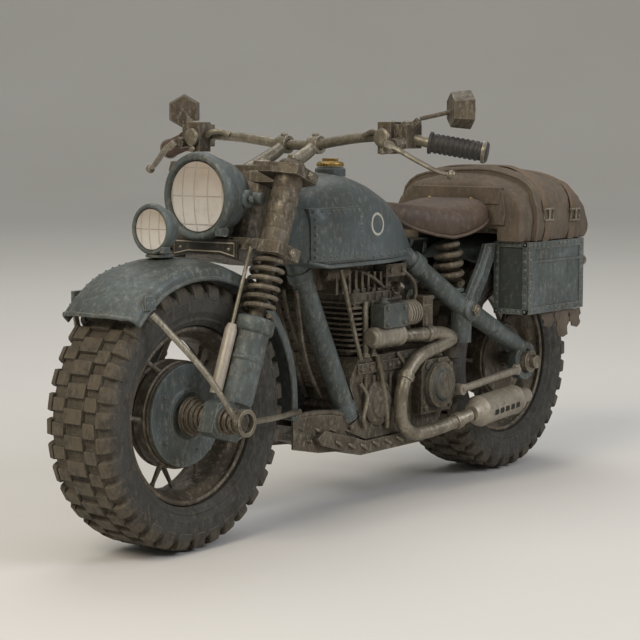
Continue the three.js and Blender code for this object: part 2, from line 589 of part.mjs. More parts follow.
mesh(motorcycle, "fuel_cap", join(
  rod([0, -9, 138.4 + GAP], [0, -9, 140.4], 5.6, 16), box(7, 1.6, 2.4, 0, -9, 141)), brass);

// Engine: belly pan, crankcase, finned cylinders, carburettor, exhaust, gearbox cover
mesh(motorcycle, "belly_pan", sidePlate([
  [-38, 33], [-35, 30], [-10, 22.6], [34, 22.6], [41, 26], [41, 28], [-6, 28], [-33, 35.6],
], -16.6, 16.6), grimyMetal);
const crankcase = sidePlate([
  [-14, 32], [-5, 28.4], [46, 28.4], [50, 34], [50, 58],
  [44, ENGINE_TOP], [-9, ENGINE_TOP], [-15, 54], [-16, 38],
], -CASE_HALF, CASE_HALF);
const tubeClear = SIDES.map(([, s]) => rod(
  [s * 8, -40.6, 101.4], [s * 12.1, -12.4, 36], DOWNTUBE_RADIUS + 0.6, 14));
const gearCase = join(
  sidePlate([[27, 35], [48, 35], [50, 38], [50, 54], [46, 57.6], [30, 57.6], [27, 54]], CASE_HALF - 1, 20.4),
  rod([20, 38, 46.6], [23.4, 38, 46.6], 9.6, 22),
  rod([23, 38, 46.6], [25, 38, 46.6], 6.4, 22, 5.4));
mesh(motorcycle, "crankcase", join(cut(crankcase, ...tubeClear), gearCase), grimyMetal);

const FINS = 7;
const finPlates = [];
for (let i = 0; i < FINS; i += 1) {
  finPlates.push(box(29, 37, 1.3, 0, 6.5, ENGINE_TOP + 3 + i * 3));
}
const barrels = [box(22, 31, 29, 0, 6.5, ENGINE_TOP + GAP + 14.5), box(27, 34, 5, 0, 6.5, 88.6)];
mesh(motorcycle, "cylinder_block", cut(join(...barrels, ...finPlates), ...tubeClear), grimyMetal);

mesh(motorcycle, "carburettor", join(
  rod([18.6, -5, 70], [18.6, 14, 70], 4, 12),
  box(6, 18, 9, 18.8, 6, 78),
  rod([19, 12, 78], [19, 22, 79], 2.6, 8)), bareSteel);

mesh(motorcycle, "exhaust_header", pipe([
  [19.4, 29, 67], [19.6, 42, 67.6], [19.8, 50, 65], [20, 40, 62.6], [20.4, 24, 59], [20.6, 14, 50],
  [20.6, 12, 36], [22, 19, 28.4], [25, 37, 29.4], [28, 51.6, 32.6],
], 2.8, 8, 22), bareSteel);
const muffler = [[0, -1], [3.6, -1], [MUFFLER_RADIUS, 4], [MUFFLER_RADIUS, MUFFLER_LENGTH - 5],
  [3.4, MUFFLER_LENGTH], [3.2, MUFFLER_LENGTH + 5], [0, MUFFLER_LENGTH + 5]];
mesh(motorcycle, "muffler", turnZ(muffler, 16).rotateX(-Math.PI / 2 + 0.07).translate(28, 54, 33), bareSteel);

// Saddle and its two coil springs
const saddleSide = [
  [21, 120], [22, 123.4], [50, 121.6], [78, 123.6], [81, 119], [76, 113.6], [52, 107.5], [38, 111], [28, 116],
];
const saddlePlan = [
  [-4, 20], [-9, 35], [-18, 50], [-21.6, 64], [-21, 76], [-14, 82],
  [14, 82], [21, 76], [21.6, 64], [18, 50], [9, 35], [4, 20],
];
mesh(motorcycle, "saddle", common(
  sidePlate(saddleSide, -24, 24), planPlate(saddlePlan, 100, 130)), leather);
for (const [side, s] of SIDES) {
  const coil = [];
  const turns = 4;
  const foot = 87.6;
  const rise = 17.2;
  for (let i = 0; i <= turns * 8; i += 1) {
    const angle = (i / 8) * 2 * Math.PI;
    const share = i / (turns * 8);
    const radius = 5.8 - share * 1.2;
    coil.push([
      s * SADDLE_SPRING_X + radius * Math.cos(angle),
      SADDLE_SPRING_Y + radius * Math.sin(angle),
      foot + share * rise,
    ]);
  }
  mesh(motorcycle, `saddle_spring_${side}`, pipe(coil, 1.2, 4, turns * 8), grimyMetal);
}

// Rear end: mudguard, rack, canvas pack and two pannier boxes with rear doors
mesh(motorcycle, "rear_fender", fender(REAR_AXLE_Y, -33, 77, 14, () => 0), paint);
const rackBars = [box(3, 50, 2, 12, 111, RACK_HEIGHT), box(3, 50, 2, -12, 111, RACK_HEIGHT)];
for (const y of [88, 104, 120, 134]) {
  rackBars.push(box(2 * PANNIER_INNER + 3, 4, 2, 0, y, RACK_HEIGHT));
}
mesh(motorcycle, "luggage_rack", join(...rackBars), grimyMetal);
const packSkirt = PANNIER_FLOOR + PANNIER_HEIGHT + GAP;
const packUnder = RACK_HEIGHT + 1 + GAP;
const half = PACK_HALF_WIDTH;
const rackEdge = PANNIER_INNER + 1.5 + 2 * GAP;
const packFront = [
  [-half + 0.8, packSkirt], [-half, 114], [-half + 1.8, 124], [-28, 131], [-14, 135.4], [0, PACK_TOP],
  [14, 135.4], [28, 131], [half - 1.8, 124], [half, 114], [half - 0.8, packSkirt],
  [rackEdge, packSkirt], [rackEdge, packUnder], [-rackEdge, packUnder], [-rackEdge, packSkirt],
];
const packBack = PANNIER_FRONT + PANNIER_LENGTH + 5;
const packSide = [
  [83.4, packSkirt], [82.2, 115], [84, 126], [90, 134], [98, PACK_TOP], [packBack - 25, 135.6],
  [packBack - 11, 133.6], [packBack - 4, 127], [packBack - 0.4, 117], [packBack, packSkirt],
];
const packBody = common(frontPlate(packFront, 80, packBack + 3), sidePlate(packSide, -half - 10, half + 10));
mesh(motorcycle, "canvas_pack", packBody, canvas);
for (const [side, s] of SIDES) {
  const cx = s * (PANNIER_INNER + PANNIER_WIDTH / 2);
  const outer = box(PANNIER_WIDTH, PANNIER_LENGTH, PANNIER_HEIGHT,
    cx, PANNIER_FRONT + PANNIER_LENGTH / 2, PANNIER_FLOOR + PANNIER_HEIGHT / 2);
  const inner = box(PANNIER_WIDTH - 2 * PANNIER_WALL, PANNIER_LENGTH, PANNIER_HEIGHT - 2 * PANNIER_WALL,
    cx, PANNIER_FRONT + PANNIER_WALL + PANNIER_LENGTH / 2, PANNIER_FLOOR + PANNIER_HEIGHT / 2);
  mesh(motorcycle, `pannier_${side}`, cut(outer, inner), paint);
  const doorY = PANNIER_FRONT + PANNIER_LENGTH + GAP;
  const door = box(PANNIER_WIDTH, 1.2, PANNIER_HEIGHT, cx, doorY + 0.6, PANNIER_FLOOR + PANNIER_HEIGHT / 2);
  const latch = box(5, 2.6, 4, cx + s * 3, doorY + 2, PANNIER_FLOOR + 16);
  const pinZ = PANNIER_FLOOR + 1;
  const knuckle = rod([cx - 7, doorY + 1.6, pinZ], [cx + 7, doorY + 1.6, pinZ], 1, 8);
  mesh(motorcycle, `pannier_door_${side}`, join(door, latch, knuckle), paint);
}

// Clockwork on the right side: plates, key, great wheel, mainspring, layshaft and rear pinion
const pitchOf = (teeth) => (teeth * GEAR_MODULE) / 2;
function gear(teeth, x0, x1, phase, boreRadius) {
  const root = pitchOf(teeth) - 1.15 * GEAR_MODULE;
  const tip = pitchOf(teeth) + 0.85 * GEAR_MODULE;
  const step = (2 * Math.PI) / teeth;
  const points = [];
  for (let i = 0; i < teeth; i += 1) {
    for (const [offset, radius] of [[-0.3, root], [-0.12, tip], [0.12, tip], [0.3, root]]) {
      const angle = (i + offset) * step + phase;
      points.push(new THREE.Vector2(radius * Math.cos(angle), radius * Math.sin(angle)));
    }
  }
  const shape = new THREE.Shape(points);
  if (boreRadius) shape.holes.push(new THREE.Path(disc(boreRadius, 20).getPoints().reverse()));
  const geometry = new THREE.ExtrudeGeometry(shape, { depth: x1 - x0, bevelEnabled: false });
  geometry.rotateY(Math.PI / 2).rotateX(Math.PI / 2);
  return geometry.translate(x0, 0, 0);
}

const LAYSHAFT_Y = REAR_AXLE_Y - pitchOf(WHEEL_TEETH) - pitchOf(REAR_PINION_TEETH);
const ARBOR_Y = LAYSHAFT_Y - pitchOf(WHEEL_TEETH) - pitchOf(LAYSHAFT_TEETH);
const greatOut = MOVEMENT_INNER_PLATE - 0.4 - GEAR_WIDTH;
const layOut = greatOut - 0.6 - GEAR_WIDTH;
const OUTER_PLATE = layOut - 5.4;
const ARBOR_RADIUS = 2.2;
const xRod = (y, x0, x1, r, sides = 12) => rod([x0, y, WHEEL_RADIUS], [x1, y, WHEEL_RADIUS], r, sides);

const REAR_BORE = AXLE_RADIUS + RUNNING_CLEARANCE;
const sleeve = turnX([
  [REAR_BORE, -REAR_DRUM_HALF - GAP], [5, -REAR_DRUM_HALF - GAP], [5, layOut], [REAR_BORE, layOut],
  [REAR_BORE, -REAR_DRUM_HALF - GAP],
], 16).translate(0, REAR_AXLE_Y, WHEEL_RADIUS);
const rearPinion = gear(REAR_PINION_TEETH, layOut - 0.2, layOut + GEAR_WIDTH + 0.2,
  Math.PI / REAR_PINION_TEETH, REAR_BORE).translate(0, REAR_AXLE_Y, WHEEL_RADIUS);
mesh(motorcycle, "rear_pinion", join(sleeve, rearPinion), brass);

const greatWheel = gear(WHEEL_TEETH, greatOut, greatOut + GEAR_WIDTH, 0, 0)
  .translate(0, ARBOR_Y, WHEEL_RADIUS);
mesh(motorcycle, "great_wheel", join(greatWheel,
  xRod(ARBOR_Y, MOVEMENT_INNER_PLATE + 1.4, OUTER_PLATE - 12, ARBOR_RADIUS)), brass);
const layWheel = gear(WHEEL_TEETH, layOut, layOut + GEAR_WIDTH, 0, 0).translate(0, LAYSHAFT_Y, WHEEL_RADIUS);
const layPinion = gear(LAYSHAFT_TEETH, layOut + 1, greatOut + GEAR_WIDTH + 0.1,
  Math.PI / LAYSHAFT_TEETH, 0).translate(0, LAYSHAFT_Y, WHEEL_RADIUS);
mesh(motorcycle, "layshaft", join(layWheel, layPinion,
  xRod(LAYSHAFT_Y, MOVEMENT_INNER_PLATE + 1.4, OUTER_PLATE - 2, 1.6)), brass);

const fromAxle = (points) => points.map(([y, z]) => [REAR_AXLE_Y + y, WHEEL_RADIUS + z]);
const platePoints = fromAxle([[-72.4, -21], [-10, -21], [10, -7], [10, 7], [-8, 20.6], [-72.4, 20.6]]);
const innerPlate = sidePlate(platePoints, MOVEMENT_INNER_PLATE, MOVEMENT_INNER_PLATE + PLATE_THICKNESS);
const outerPlate = sidePlate(fromAxle([
  [-72.4, -21], [-64, -21], [-51, -6], [-31, -6], [-18, -21], [-10, -21], [-10, -14], [-21, -1], [-21, 1],
  [-10, 14], [-10, 20.6], [-18, 20.6], [-31, 6], [-51, 6], [-64, 20.6], [-72.4, 20.6],
  [-72.4, 14], [-61, 1], [-61, -1], [-72.4, -14],
]), OUTER_PLATE - PLATE_THICKNESS, OUTER_PLATE);
const posts = fromAxle([[-69.6, -18.2], [-69.6, 18], [-12.4, -18.2], [-12.4, 18]]).map(([y, z]) => rod(
  [MOVEMENT_INNER_PLATE + 0.5, y, z], [OUTER_PLATE - 0.5, y, z], 1.3, 8));
const plateHoles = [
  xRod(ARBOR_Y, 0, -60, ARBOR_RADIUS + GAP, 14),
  xRod(LAYSHAFT_Y, 0, -60, 1.6 + GAP, 14),
  xRod(REAR_AXLE_Y, 0, -60, 5.5, 16),
];
mesh(motorcycle, "movement_frame", cut(join(innerPlate, outerPlate, ...posts), ...plateHoles), bareSteel);

const spiral = [];
const SPIRAL_TURNS = 4;
const spiralPoint = (t, shift) => {
  const radius = ARBOR_RADIUS + 1 + t * 1.9 + shift;
  const angle = t * 2 * Math.PI;
  return [ARBOR_Y + radius * Math.cos(angle), WHEEL_RADIUS + radius * Math.sin(angle)];
};
for (let i = 0; i <= SPIRAL_TURNS * 14; i += 1) spiral.push(spiralPoint(i / 14, 0));
for (let i = SPIRAL_TURNS * 14; i >= 0; i -= 1) spiral.push(spiralPoint(i / 14, 0.6));
mesh(motorcycle, "mainspring", sidePlate(spiral, OUTER_PLATE + 0.5, OUTER_PLATE + 4), bareSteel);

const keyHub = OUTER_PLATE - PLATE_THICKNESS - 1;
const wing = new THREE.Shape();
wing.absellipse(0, 8.6, 6.2, 7.6, 0, 2 * Math.PI, false, 0);
const wingBlank = (flip) => {
  const geometry = new THREE.ExtrudeGeometry(wing, { depth: 1.8, bevelEnabled: false, curveSegments: 8 });
  geometry.translate(0, 0, -0.9).rotateZ(flip ? Math.PI : 0).rotateX(Math.PI / 2);
  return geometry.translate(keyHub - 12, ARBOR_Y, WHEEL_RADIUS);
};
const keyBarrel = rod([keyHub, ARBOR_Y, WHEEL_RADIUS], [keyHub - 12, ARBOR_Y, WHEEL_RADIUS], 3.6, 12);
mesh(motorcycle, "winding_key", cut(join(keyBarrel, wingBlank(false), wingBlank(true)),
  xRod(ARBOR_Y, keyHub + 4, OUTER_PLATE - 12 - GAP, ARBOR_RADIUS + GAP),
  ...[8.8, -8.8].map((dz) => rod([keyHub - 12, ARBOR_Y - 4, WHEEL_RADIUS + dz],
    [keyHub - 12, ARBOR_Y + 4, WHEEL_RADIUS + dz], 2.8, 12))), brass);

mesh(motorcycle, "rear_axle", join(
  xRod(REAR_AXLE_Y, layOut - 3, STAY_OFFSET + 8, AXLE_RADIUS, 16),
  xRod(REAR_AXLE_Y, STAY_OFFSET - 5, STAY_OFFSET + 5, 5, 16)), bareSteel);

// The origin is put under the middle of the machine's length
const extent = new THREE.Box3().setFromObject(motorcycle);
motorcycle.position.y = -(extent.min.y + extent.max.y) / 2;

export default motorcycle;
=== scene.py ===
import json
import math
import random

import bmesh
import bpy
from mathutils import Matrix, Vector, noise


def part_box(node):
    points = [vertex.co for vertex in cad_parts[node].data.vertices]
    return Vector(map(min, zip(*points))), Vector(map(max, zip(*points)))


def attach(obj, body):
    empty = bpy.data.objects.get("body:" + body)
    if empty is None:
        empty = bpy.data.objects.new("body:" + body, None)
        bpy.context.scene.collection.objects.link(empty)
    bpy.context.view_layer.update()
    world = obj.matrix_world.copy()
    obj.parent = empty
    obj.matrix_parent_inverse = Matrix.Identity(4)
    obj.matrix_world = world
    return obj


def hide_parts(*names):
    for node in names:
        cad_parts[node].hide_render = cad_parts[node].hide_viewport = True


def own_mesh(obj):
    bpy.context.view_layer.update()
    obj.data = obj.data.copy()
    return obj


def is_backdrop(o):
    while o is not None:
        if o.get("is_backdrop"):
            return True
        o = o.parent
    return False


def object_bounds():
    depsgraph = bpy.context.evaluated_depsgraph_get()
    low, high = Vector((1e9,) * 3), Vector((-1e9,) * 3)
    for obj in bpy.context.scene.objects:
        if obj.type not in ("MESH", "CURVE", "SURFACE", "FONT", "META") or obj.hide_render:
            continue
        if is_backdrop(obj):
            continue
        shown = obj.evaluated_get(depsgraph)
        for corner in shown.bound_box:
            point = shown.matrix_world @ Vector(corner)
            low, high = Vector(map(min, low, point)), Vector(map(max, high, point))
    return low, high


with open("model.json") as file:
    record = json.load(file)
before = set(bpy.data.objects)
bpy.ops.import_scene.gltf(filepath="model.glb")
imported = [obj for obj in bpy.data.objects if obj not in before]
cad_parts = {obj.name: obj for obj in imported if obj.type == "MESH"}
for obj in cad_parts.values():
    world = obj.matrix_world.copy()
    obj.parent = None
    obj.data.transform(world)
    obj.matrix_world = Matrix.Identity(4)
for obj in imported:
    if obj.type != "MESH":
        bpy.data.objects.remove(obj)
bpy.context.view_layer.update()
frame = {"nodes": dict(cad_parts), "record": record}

# Camera: a long lens low down ahead of the machine's left side, a little above its lamps.
# It is level from side to side and looks slightly downwards.
MM = 0.001
camera = bpy.data.objects.new("camera", bpy.data.cameras.new("camera"))
bpy.context.scene.collection.objects.link(camera)
bpy.context.scene.camera = camera
camera.location = (0.4556, -0.5954, 0.1554)
camera.rotation_euler = (math.radians(90 - 6.09), 0, math.radians(38.3))
camera.data.sensor_width = 36
camera.data.lens = 102.9
camera.data.clip_start = 0.01


# Studio: a pale matt floor that curves up into a wall all round under a plain pale sky, with three
# large soft lights. The key light stands to the left of the camera, and a cool one skims the tank.
def linear(hex_colour):
    channels = [int(hex_colour[i:i + 2], 16) / 255 for i in (1, 3, 5)]
    return tuple(c / 12.92 if c <= 0.04045 else ((c + 0.055) / 1.055) ** 2.4 for c in channels) + (1,)


def add(tree, kind, inputs=None, **settings):
    made = tree.nodes.new("ShaderNode" + kind)
    for name, value in settings.items():
        setattr(made, name, value)
    for key, value in (inputs or {}).items():
        if isinstance(value, bpy.types.NodeSocket):
            tree.links.new(value, made.inputs[key])
        else:
            made.inputs[key].default_value = value
    return made


def ramp(tree, value, low, high, first, last):
    return add(tree, "MapRange", {"Value": value, 1: low, 2: high, 3: first, 4: last}).outputs[0]


def mix(tree, share, one, two):
    return add(tree, "Mix", {0: share, 6: one, 7: two}, data_type="RGBA").outputs[2]


def calc(tree, operation, one, two):
    return add(tree, "Math", {0: one, 1: two}, operation=operation).outputs[0]


def new_material(name):
    material = bpy.data.materials.new(name)
    material.use_nodes = True
    tree = material.node_tree
    return material, tree, tree.nodes["Principled BSDF"]


floor_material, floor_tree, floor_shader = new_material("pale matt floor")
floor_where = add(floor_tree, "TexCoord").outputs["Object"]
floor_cloud = add(floor_tree, "TexNoise", {"Vector": floor_where, "Scale": 3.0, "Detail": 3.0})
floor_colour = add(floor_tree, "Mix", {
    0: floor_cloud.outputs["Fac"], 6: linear("#cfcdc8"), 7: linear("#d8d6d2")}, data_type="RGBA")
floor_tree.links.new(floor_colour.outputs[2], floor_shader.inputs["Base Color"])
floor_shader.inputs["Roughness"].default_value = 0.9
bowl_line = [(0.0, 0.0), (1.0, 0.0), (2.4, 0.0)]
for k in range(1, 13):
    bend = math.radians(k * 6.5)
    bowl_line.append((2.4 + 1.6 * math.sin(bend), 1.6 - 1.6 * math.cos(bend)))
bowl_line.append((4.2, 3.4))
bowl_points = []
bowl_faces = []
for k in range(48):
    turn = 2 * math.pi * k / 48
    bowl_points += [(r * math.cos(turn), r * math.sin(turn), z) for r, z in bowl_line]
for k in range(48):
    for i in range(len(bowl_line) - 1):
        one, two = k * len(bowl_line) + i, ((k + 1) % 48) * len(bowl_line) + i
        bowl_faces.append((one, two, two + 1, one + 1))
floor_mesh = bpy.data.meshes.new("studio_floor")
floor_mesh.from_pydata(bowl_points, [], bowl_faces)
floor_mesh.polygons.foreach_set("use_smooth", [True] * len(floor_mesh.polygons))
floor_mesh.materials.append(floor_material)
stage_floor = bpy.data.objects.new("studio_floor", floor_mesh)
bpy.context.scene.collection.objects.link(stage_floor)
stage_floor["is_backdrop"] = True

sky = bpy.data.worlds.new("studio sky")
bpy.context.scene.world = sky
sky.use_nodes = True
sky.node_tree.nodes["Background"].inputs["Color"].default_value = linear("#ececea")
sky.node_tree.nodes["Background"].inputs["Strength"].default_value = 0.6

for label, spot, size, watts, tint in (
        ("key", (0.15, -1.1, 0.95), 0.7, 11, "#fff3e2"),
        ("skim", (1.1, 0.25, 0.75), 0.6, 6.5, "#f1f4ff"),
        ("top", (-0.5, 0.5, 1.3), 0.9, 4.5, "#ffffff")):
    lamp = bpy.data.lights.new(label, "AREA")
    lamp.shape = "DISK"
    lamp.size = size
    lamp.energy = watts
    lamp.color = linear(tint)[:3]
    holder = bpy.data.objects.new(label, lamp)
    bpy.context.scene.collection.objects.link(holder)
    holder.location = spot
    holder.rotation_euler = (Vector((0, 0, 0.08)) - Vector(spot)).to_track_quat("-Z", "Y").to_euler()
bpy.context.scene.view_settings.view_transform = "Standard"


# Finishes: every surface starts as one clean colour and has aged the same way. Dust lies in large
# patches, and an occlusion mask lays oil and mud colour into the corners, so the corners carry painted
# shade as well as grime. Handling has rubbed the edges to the bare colour.
def aged(name, clean, shade, dirt_and_shade_colour, bare, metallic, rough, dirt_and_shade_share, wear=0.7, grain_mm=0.9,
         relief=0.12, mark=None):
    material, tree, shader = new_material(name)
    where = add(tree, "TexCoord").outputs["Object"]
    patch = add(tree, "TexNoise", {"Vector": where, "Scale": 1 / (24 * MM), "Detail": 6.0,
                                   "Roughness": 0.62})
    stain = add(tree, "TexNoise", {"Vector": where, "Scale": 1 / (7 * MM), "Detail": 7.0,
                                   "Roughness": 0.72})
    grain = add(tree, "TexNoise", {"Vector": where, "Scale": 1 / (grain_mm * MM), "Detail": 4.0,
                                   "Roughness": 0.6})
    corner = add(tree, "AmbientOcclusion", {"Distance": 5 * MM}, samples=4)
    round_edge = add(tree, "Bevel", {"Radius": 0.5 * MM}, samples=4)
    face = add(tree, "NewGeometry")
    turn = add(tree, "VectorMath", {0: round_edge.outputs["Normal"], 1: face.outputs["Normal"]},
               operation="DOT_PRODUCT")
    edge = ramp(tree, turn.outputs["Value"], 0.995, 0.88, 0.0, 1.0)
    faded = ramp(tree, patch.outputs["Fac"], 0.38, 0.64, 0.0, 1.0)
    body = mix(tree, faded, linear(clean), linear(shade))
    if mark:
        painted = mark(tree, where, body)
    else:
        painted = body
    blotch = ramp(tree, stain.outputs["Fac"], 0.74 - 0.42 * dirt_and_shade_share, 0.86 - 0.42 * dirt_and_shade_share, 0.0,
                  1.0)
    run_space = add(tree, "Mapping",
                    {"Vector": where, "Rotation": (0.3, 0.25, 0.0), "Scale": (1, 1, 0.42)})
    run = add(tree, "TexNoise", {"Vector": run_space.outputs[0], "Scale": 1 / (2.6 * MM), "Detail": 5.0,
                                 "Roughness": 0.65})
    streak = ramp(tree, run.outputs["Fac"], 0.5, 0.64, 0.0, 0.8 * dirt_and_shade_share + 0.2)
    # Painted shade: the occlusion mask darkens corners, creases and gaps between parts towards the dirt
    # colour, next to the random dirt blotches and streaks.
    corner_shade = ramp(tree, corner.outputs["AO"], 0.85, 0.35, 0.0, 1.0)
    soiled = calc(tree, "MAXIMUM", blotch, streak)
    dirt_and_corner_shade = calc(tree, "MAXIMUM", soiled, corner_shade)
    dirt_and_shade = calc(tree, "MULTIPLY", dirt_and_corner_shade, 0.5 + 0.5 * dirt_and_shade_share)
    mottled = mix(tree, grain.outputs["Fac"], linear(dirt_and_shade_colour), linear(shade))
    layered = mix(tree, dirt_and_shade, painted, mottled)
    nibbled = ramp(tree, grain.outputs["Fac"], 0.42, 0.56, 0.25, 1.0)
    rubbed = calc(tree, "MULTIPLY", edge, nibbled)
    worn = calc(tree, "MULTIPLY", rubbed, wear)
    scratch_space = add(tree, "Mapping",
                        {"Vector": where, "Rotation": (0.5, 0.4, 0.9), "Scale": (1, 1, 0.45)})
    scratch = add(tree, "TexNoise", {"Vector": scratch_space.outputs[0], "Scale": 1 / (1.7 * MM),
                                     "Detail": 5.0, "Roughness": 0.7})
    fleck = ramp(tree, scratch.outputs["Fac"], 0.52, 0.64, 0.0, 0.95 * wear)
    fleck_here = calc(tree, "MULTIPLY", fleck, stain.outputs["Fac"])
    bare_share = calc(tree, "MAXIMUM", worn, fleck_here)
    colour = mix(tree, bare_share, layered, linear(bare))
    tree.links.new(colour, shader.inputs["Base Color"])
    dull = ramp(tree, dirt_and_shade, 0.0, 1.0, rough, min(1.0, rough + 0.3))
    tree.links.new(dull, shader.inputs["Roughness"])
    if metallic:
        shine = ramp(tree, dirt_and_shade, 0.0, 1.0, metallic, metallic * 0.25)
        tree.links.new(shine, shader.inputs["Metallic"])
    crust = calc(tree, "ADD", stain.outputs["Fac"], grain.outputs["Fac"])
    bump = add(tree, "Bump", {"Height": crust, "Distance": relief * MM, "Strength": 0.8})
    tree.links.new(bump.outputs["Normal"], shader.inputs["Normal"])
    return material


# Blue-grey enamel on tin plate: satin, chalked by weather, so its lights are broad and soft.
enamel = aged("blue-grey enamel", "#566060", "#3e4542", "#453c2d", "#97958a", 0.1, 0.44, 0.54,
              relief=0.2)
# Oil-stained mild steel, cast or pressed, gone brown: dull with a few brighter rubs.
grimy_steel = aged("oil-stained steel", "#6a6152", "#463e32", "#29231a", "#b0a896", 0.5, 0.48, 0.56,
                   relief=0.25)
# Bare steel wire, tube and bar: it keeps a greyish shine where hands touch it.
bare_steel = aged("bare steel", "#8b8474", "#5f5849", "#3a3327", "#c6bfb1", 0.7, 0.38, 0.46, relief=0.2)
# Sand-cast engine metal: coarse grain, with burnt-oil colour and painted shade between the fins.
engine_metal = aged("cast engine metal", "#6a6253", "#484134", "#28221a", "#aaa18f", 0.4, 0.55, 0.58,
                    grain_mm=1.3, relief=0.3)
# Yellow brass, tarnished brown away from the teeth and finger faces.
brass = aged("tarnished brass", "#a58a50", "#7d6536", "#4d3f27", "#c7ad72", 0.9, 0.32, 0.22)
# Black stove enamel of the blank plate.
black_enamel = aged("black enamel", "#2b2925", "#211f1b", "#4a4234", "#6d675a", 0.0, 0.5, 0.3)

FINISHES = {"blue_grey_paint": enamel, "grimy_steel": grimy_steel, "bare_steel": bare_steel,
            "engine_metal": engine_metal, "brass": brass, "black_paint": black_enamel}
record = frame["record"]
slot_of = {row["node"]: row["material_slot"] for row in record["subparts"]}
body_of = {node: body for body, nodes in record["behaviour"]["bodies"].items() for node in nodes}
for cad_name, cad_piece in frame["nodes"].items():
    finish = FINISHES.get(slot_of[cad_name], grimy_steel)
    cad_piece.data.materials.clear()
    cad_piece.data.materials.append(finish)
    weld = cad_piece.modifiers.new("weld", "WELD")
    weld.merge_threshold = 0.01 * MM
    soften = cad_piece.modifiers.new("soften", "BEVEL")
    soften.width = 0.25 * MM
    soften.segments = 2
    soften.limit_method = "ANGLE"
    soften.angle_limit = math.radians(32)


# Solids are drawn in millimetres in the frame's own axes, each as its points and its faces. A piece
# joins some of them in one mesh, rides on its body and may stand for CAD nodes.
X, Y, Z = Vector((1, 0, 0)), Vector((0, 1, 0)), Vector((0, 0, 1))


def box_of(node):
    low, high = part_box(node)
    return low / MM, high / MM


def middle(node):
    low, high = box_of(node)
    return (low + high) / 2


def on_wheel(hub, x, radius, angle):
    return hub + Vector((x, radius * math.sin(angle), radius * math.cos(angle)))


def axes_on(direction, hint=Z):
    w = Vector(direction).normalized()
    if abs(w.dot(hint)) > 0.95:
        hint = Y
    u = hint.cross(w).normalized()
    return u, w.cross(u), w


def skin(rings, closed=True, loop=False, caps=True):
    count = len(rings[0])
    points = [p for ring in rings for p in ring]
    faces = []
    for i in range(len(rings) - (0 if loop else 1)):
        a, b = i * count, ((i + 1) % len(rings)) * count
        for j in range(count if closed else count - 1):
            k = (j + 1) % count
            faces.append((a + j, a + k, b + k, b + j))
    if caps and not loop:
        faces.append(tuple(reversed(range(count))))
        faces.append(tuple(range(len(points) - count, len(points))))
    return points, faces


def lathe(origin, axis, profile, segments=64, closed=False):
    u, v, w = axes_on(axis)
    rings = []
    for k in range(segments):
        turn = 2 * math.pi * k / segments
        out = u * math.cos(turn) + v * math.sin(turn)
        rings.append([Vector(origin) + w * along + out * radius for along, radius in profile])
    return skin(rings, closed=closed, loop=True, caps=False)


def curve(points, steps):
    made = []
    for i in range(len(points) - 1):
        b, c = points[i], points[i + 1]
        a = points[i - 1] if i else b * 2 - c
        d = points[i + 2] if i + 2 < len(points) else c * 2 - b
        for k in range(steps):
            t = k / steps
            made.append(0.5 * (2 * b + (c - a) * t + (2 * a - 5 * b + 4 * c - d) * t * t
                               + (3 * b - a - 3 * c + d) * t ** 3))
    return made + [points[-1]]


def sweep(path, radius, sides=12, loop=False, flat=1.0, hint=Z):
    side = None
    rings = []
    path = [Vector(p) for p in path]
    for i, spot in enumerate(path):
        if loop:
            ahead = path[(i + 1) % len(path)] - path[i - 1]
        else:
            ahead = path[min(i + 1, len(path) - 1)] - path[max(i - 1, 0)]
        ahead.normalize()
        side = axes_on(ahead,
                       hint)[0] if side is None else (side - ahead * side.dot(ahead)).normalized()
        up = ahead.cross(side)
        r = radius(i / (len(path) - 1)) if callable(radius) else radius
        rings.append([spot + side * (r * math.cos(2 * math.pi * k / sides))
                      + up * (r * flat * math.sin(2 * math.pi * k / sides)) for k in range(sides)])
    return skin(rings, loop=loop, caps=not loop)


def slab(outline, origin, u, v, depth):
    base = [Vector(origin) + u * a + v * b for a, b in outline]
    return skin([base, [p + u.cross(v) * depth for p in base]])


def block(low, high):
    (x0, y0, z0), (x1, y1, z1) = low, high
    return skin([[Vector((x, y, z)) for x, y in ((x0, y0), (x1, y0), (x1, y1), (x0, y1))]
                 for z in (z0, z1)])


def domes(spots, radius):
    height = radius * 0.7
    profile = [(-0.3, 0), (-0.3, radius), (0, radius), (height * 0.6, radius * 0.75),
               (height * 0.95, radius * 0.35), (height, 0)]
    return [lathe(spot, outward, profile, 10) for spot, outward in spots]


def nut(spot, outward, radius, height):
    return lathe(spot, outward, [(0, 0), (0, radius), (height * 0.8, radius), (height, radius * 0.8),
                                 (height, radius * 0.45), (height * 1.3, radius * 0.4),
                                 (height * 1.3, 0)], 6)


def piece(name, material, solids, node, replaces=False, edge=0.0, sharp=38):
    points = []
    faces = []
    for solid_points, solid_faces in solids:
        start = len(points)
        points += [tuple(p * MM) for p in solid_points]
        faces += [tuple(start + i for i in face) for face in solid_faces]
    mesh = bpy.data.meshes.new(name)
    mesh.from_pydata(points, [], faces)
    build = bmesh.new()
    build.from_mesh(mesh)
    bmesh.ops.remove_doubles(build, verts=build.verts, dist=1e-7)
    bmesh.ops.recalc_face_normals(build, faces=build.faces)
    build.to_mesh(mesh)
    build.free()
    mesh.polygons.foreach_set("use_smooth", [True] * len(mesh.polygons))
    mesh.set_sharp_from_angle(angle=math.radians(sharp))
    mesh.materials.append(material)
    made = bpy.data.objects.new(name, mesh)
    bpy.context.scene.collection.objects.link(made)
    if edge:
        soften = made.modifiers.new("soften", "BEVEL")
        soften.width = edge * MM
        soften.segments = 2
        soften.limit_method = "ANGLE"
        soften.angle_limit = math.radians(32)
    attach(made, body_of[node])
    if replaces:
        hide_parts(node)
    return made


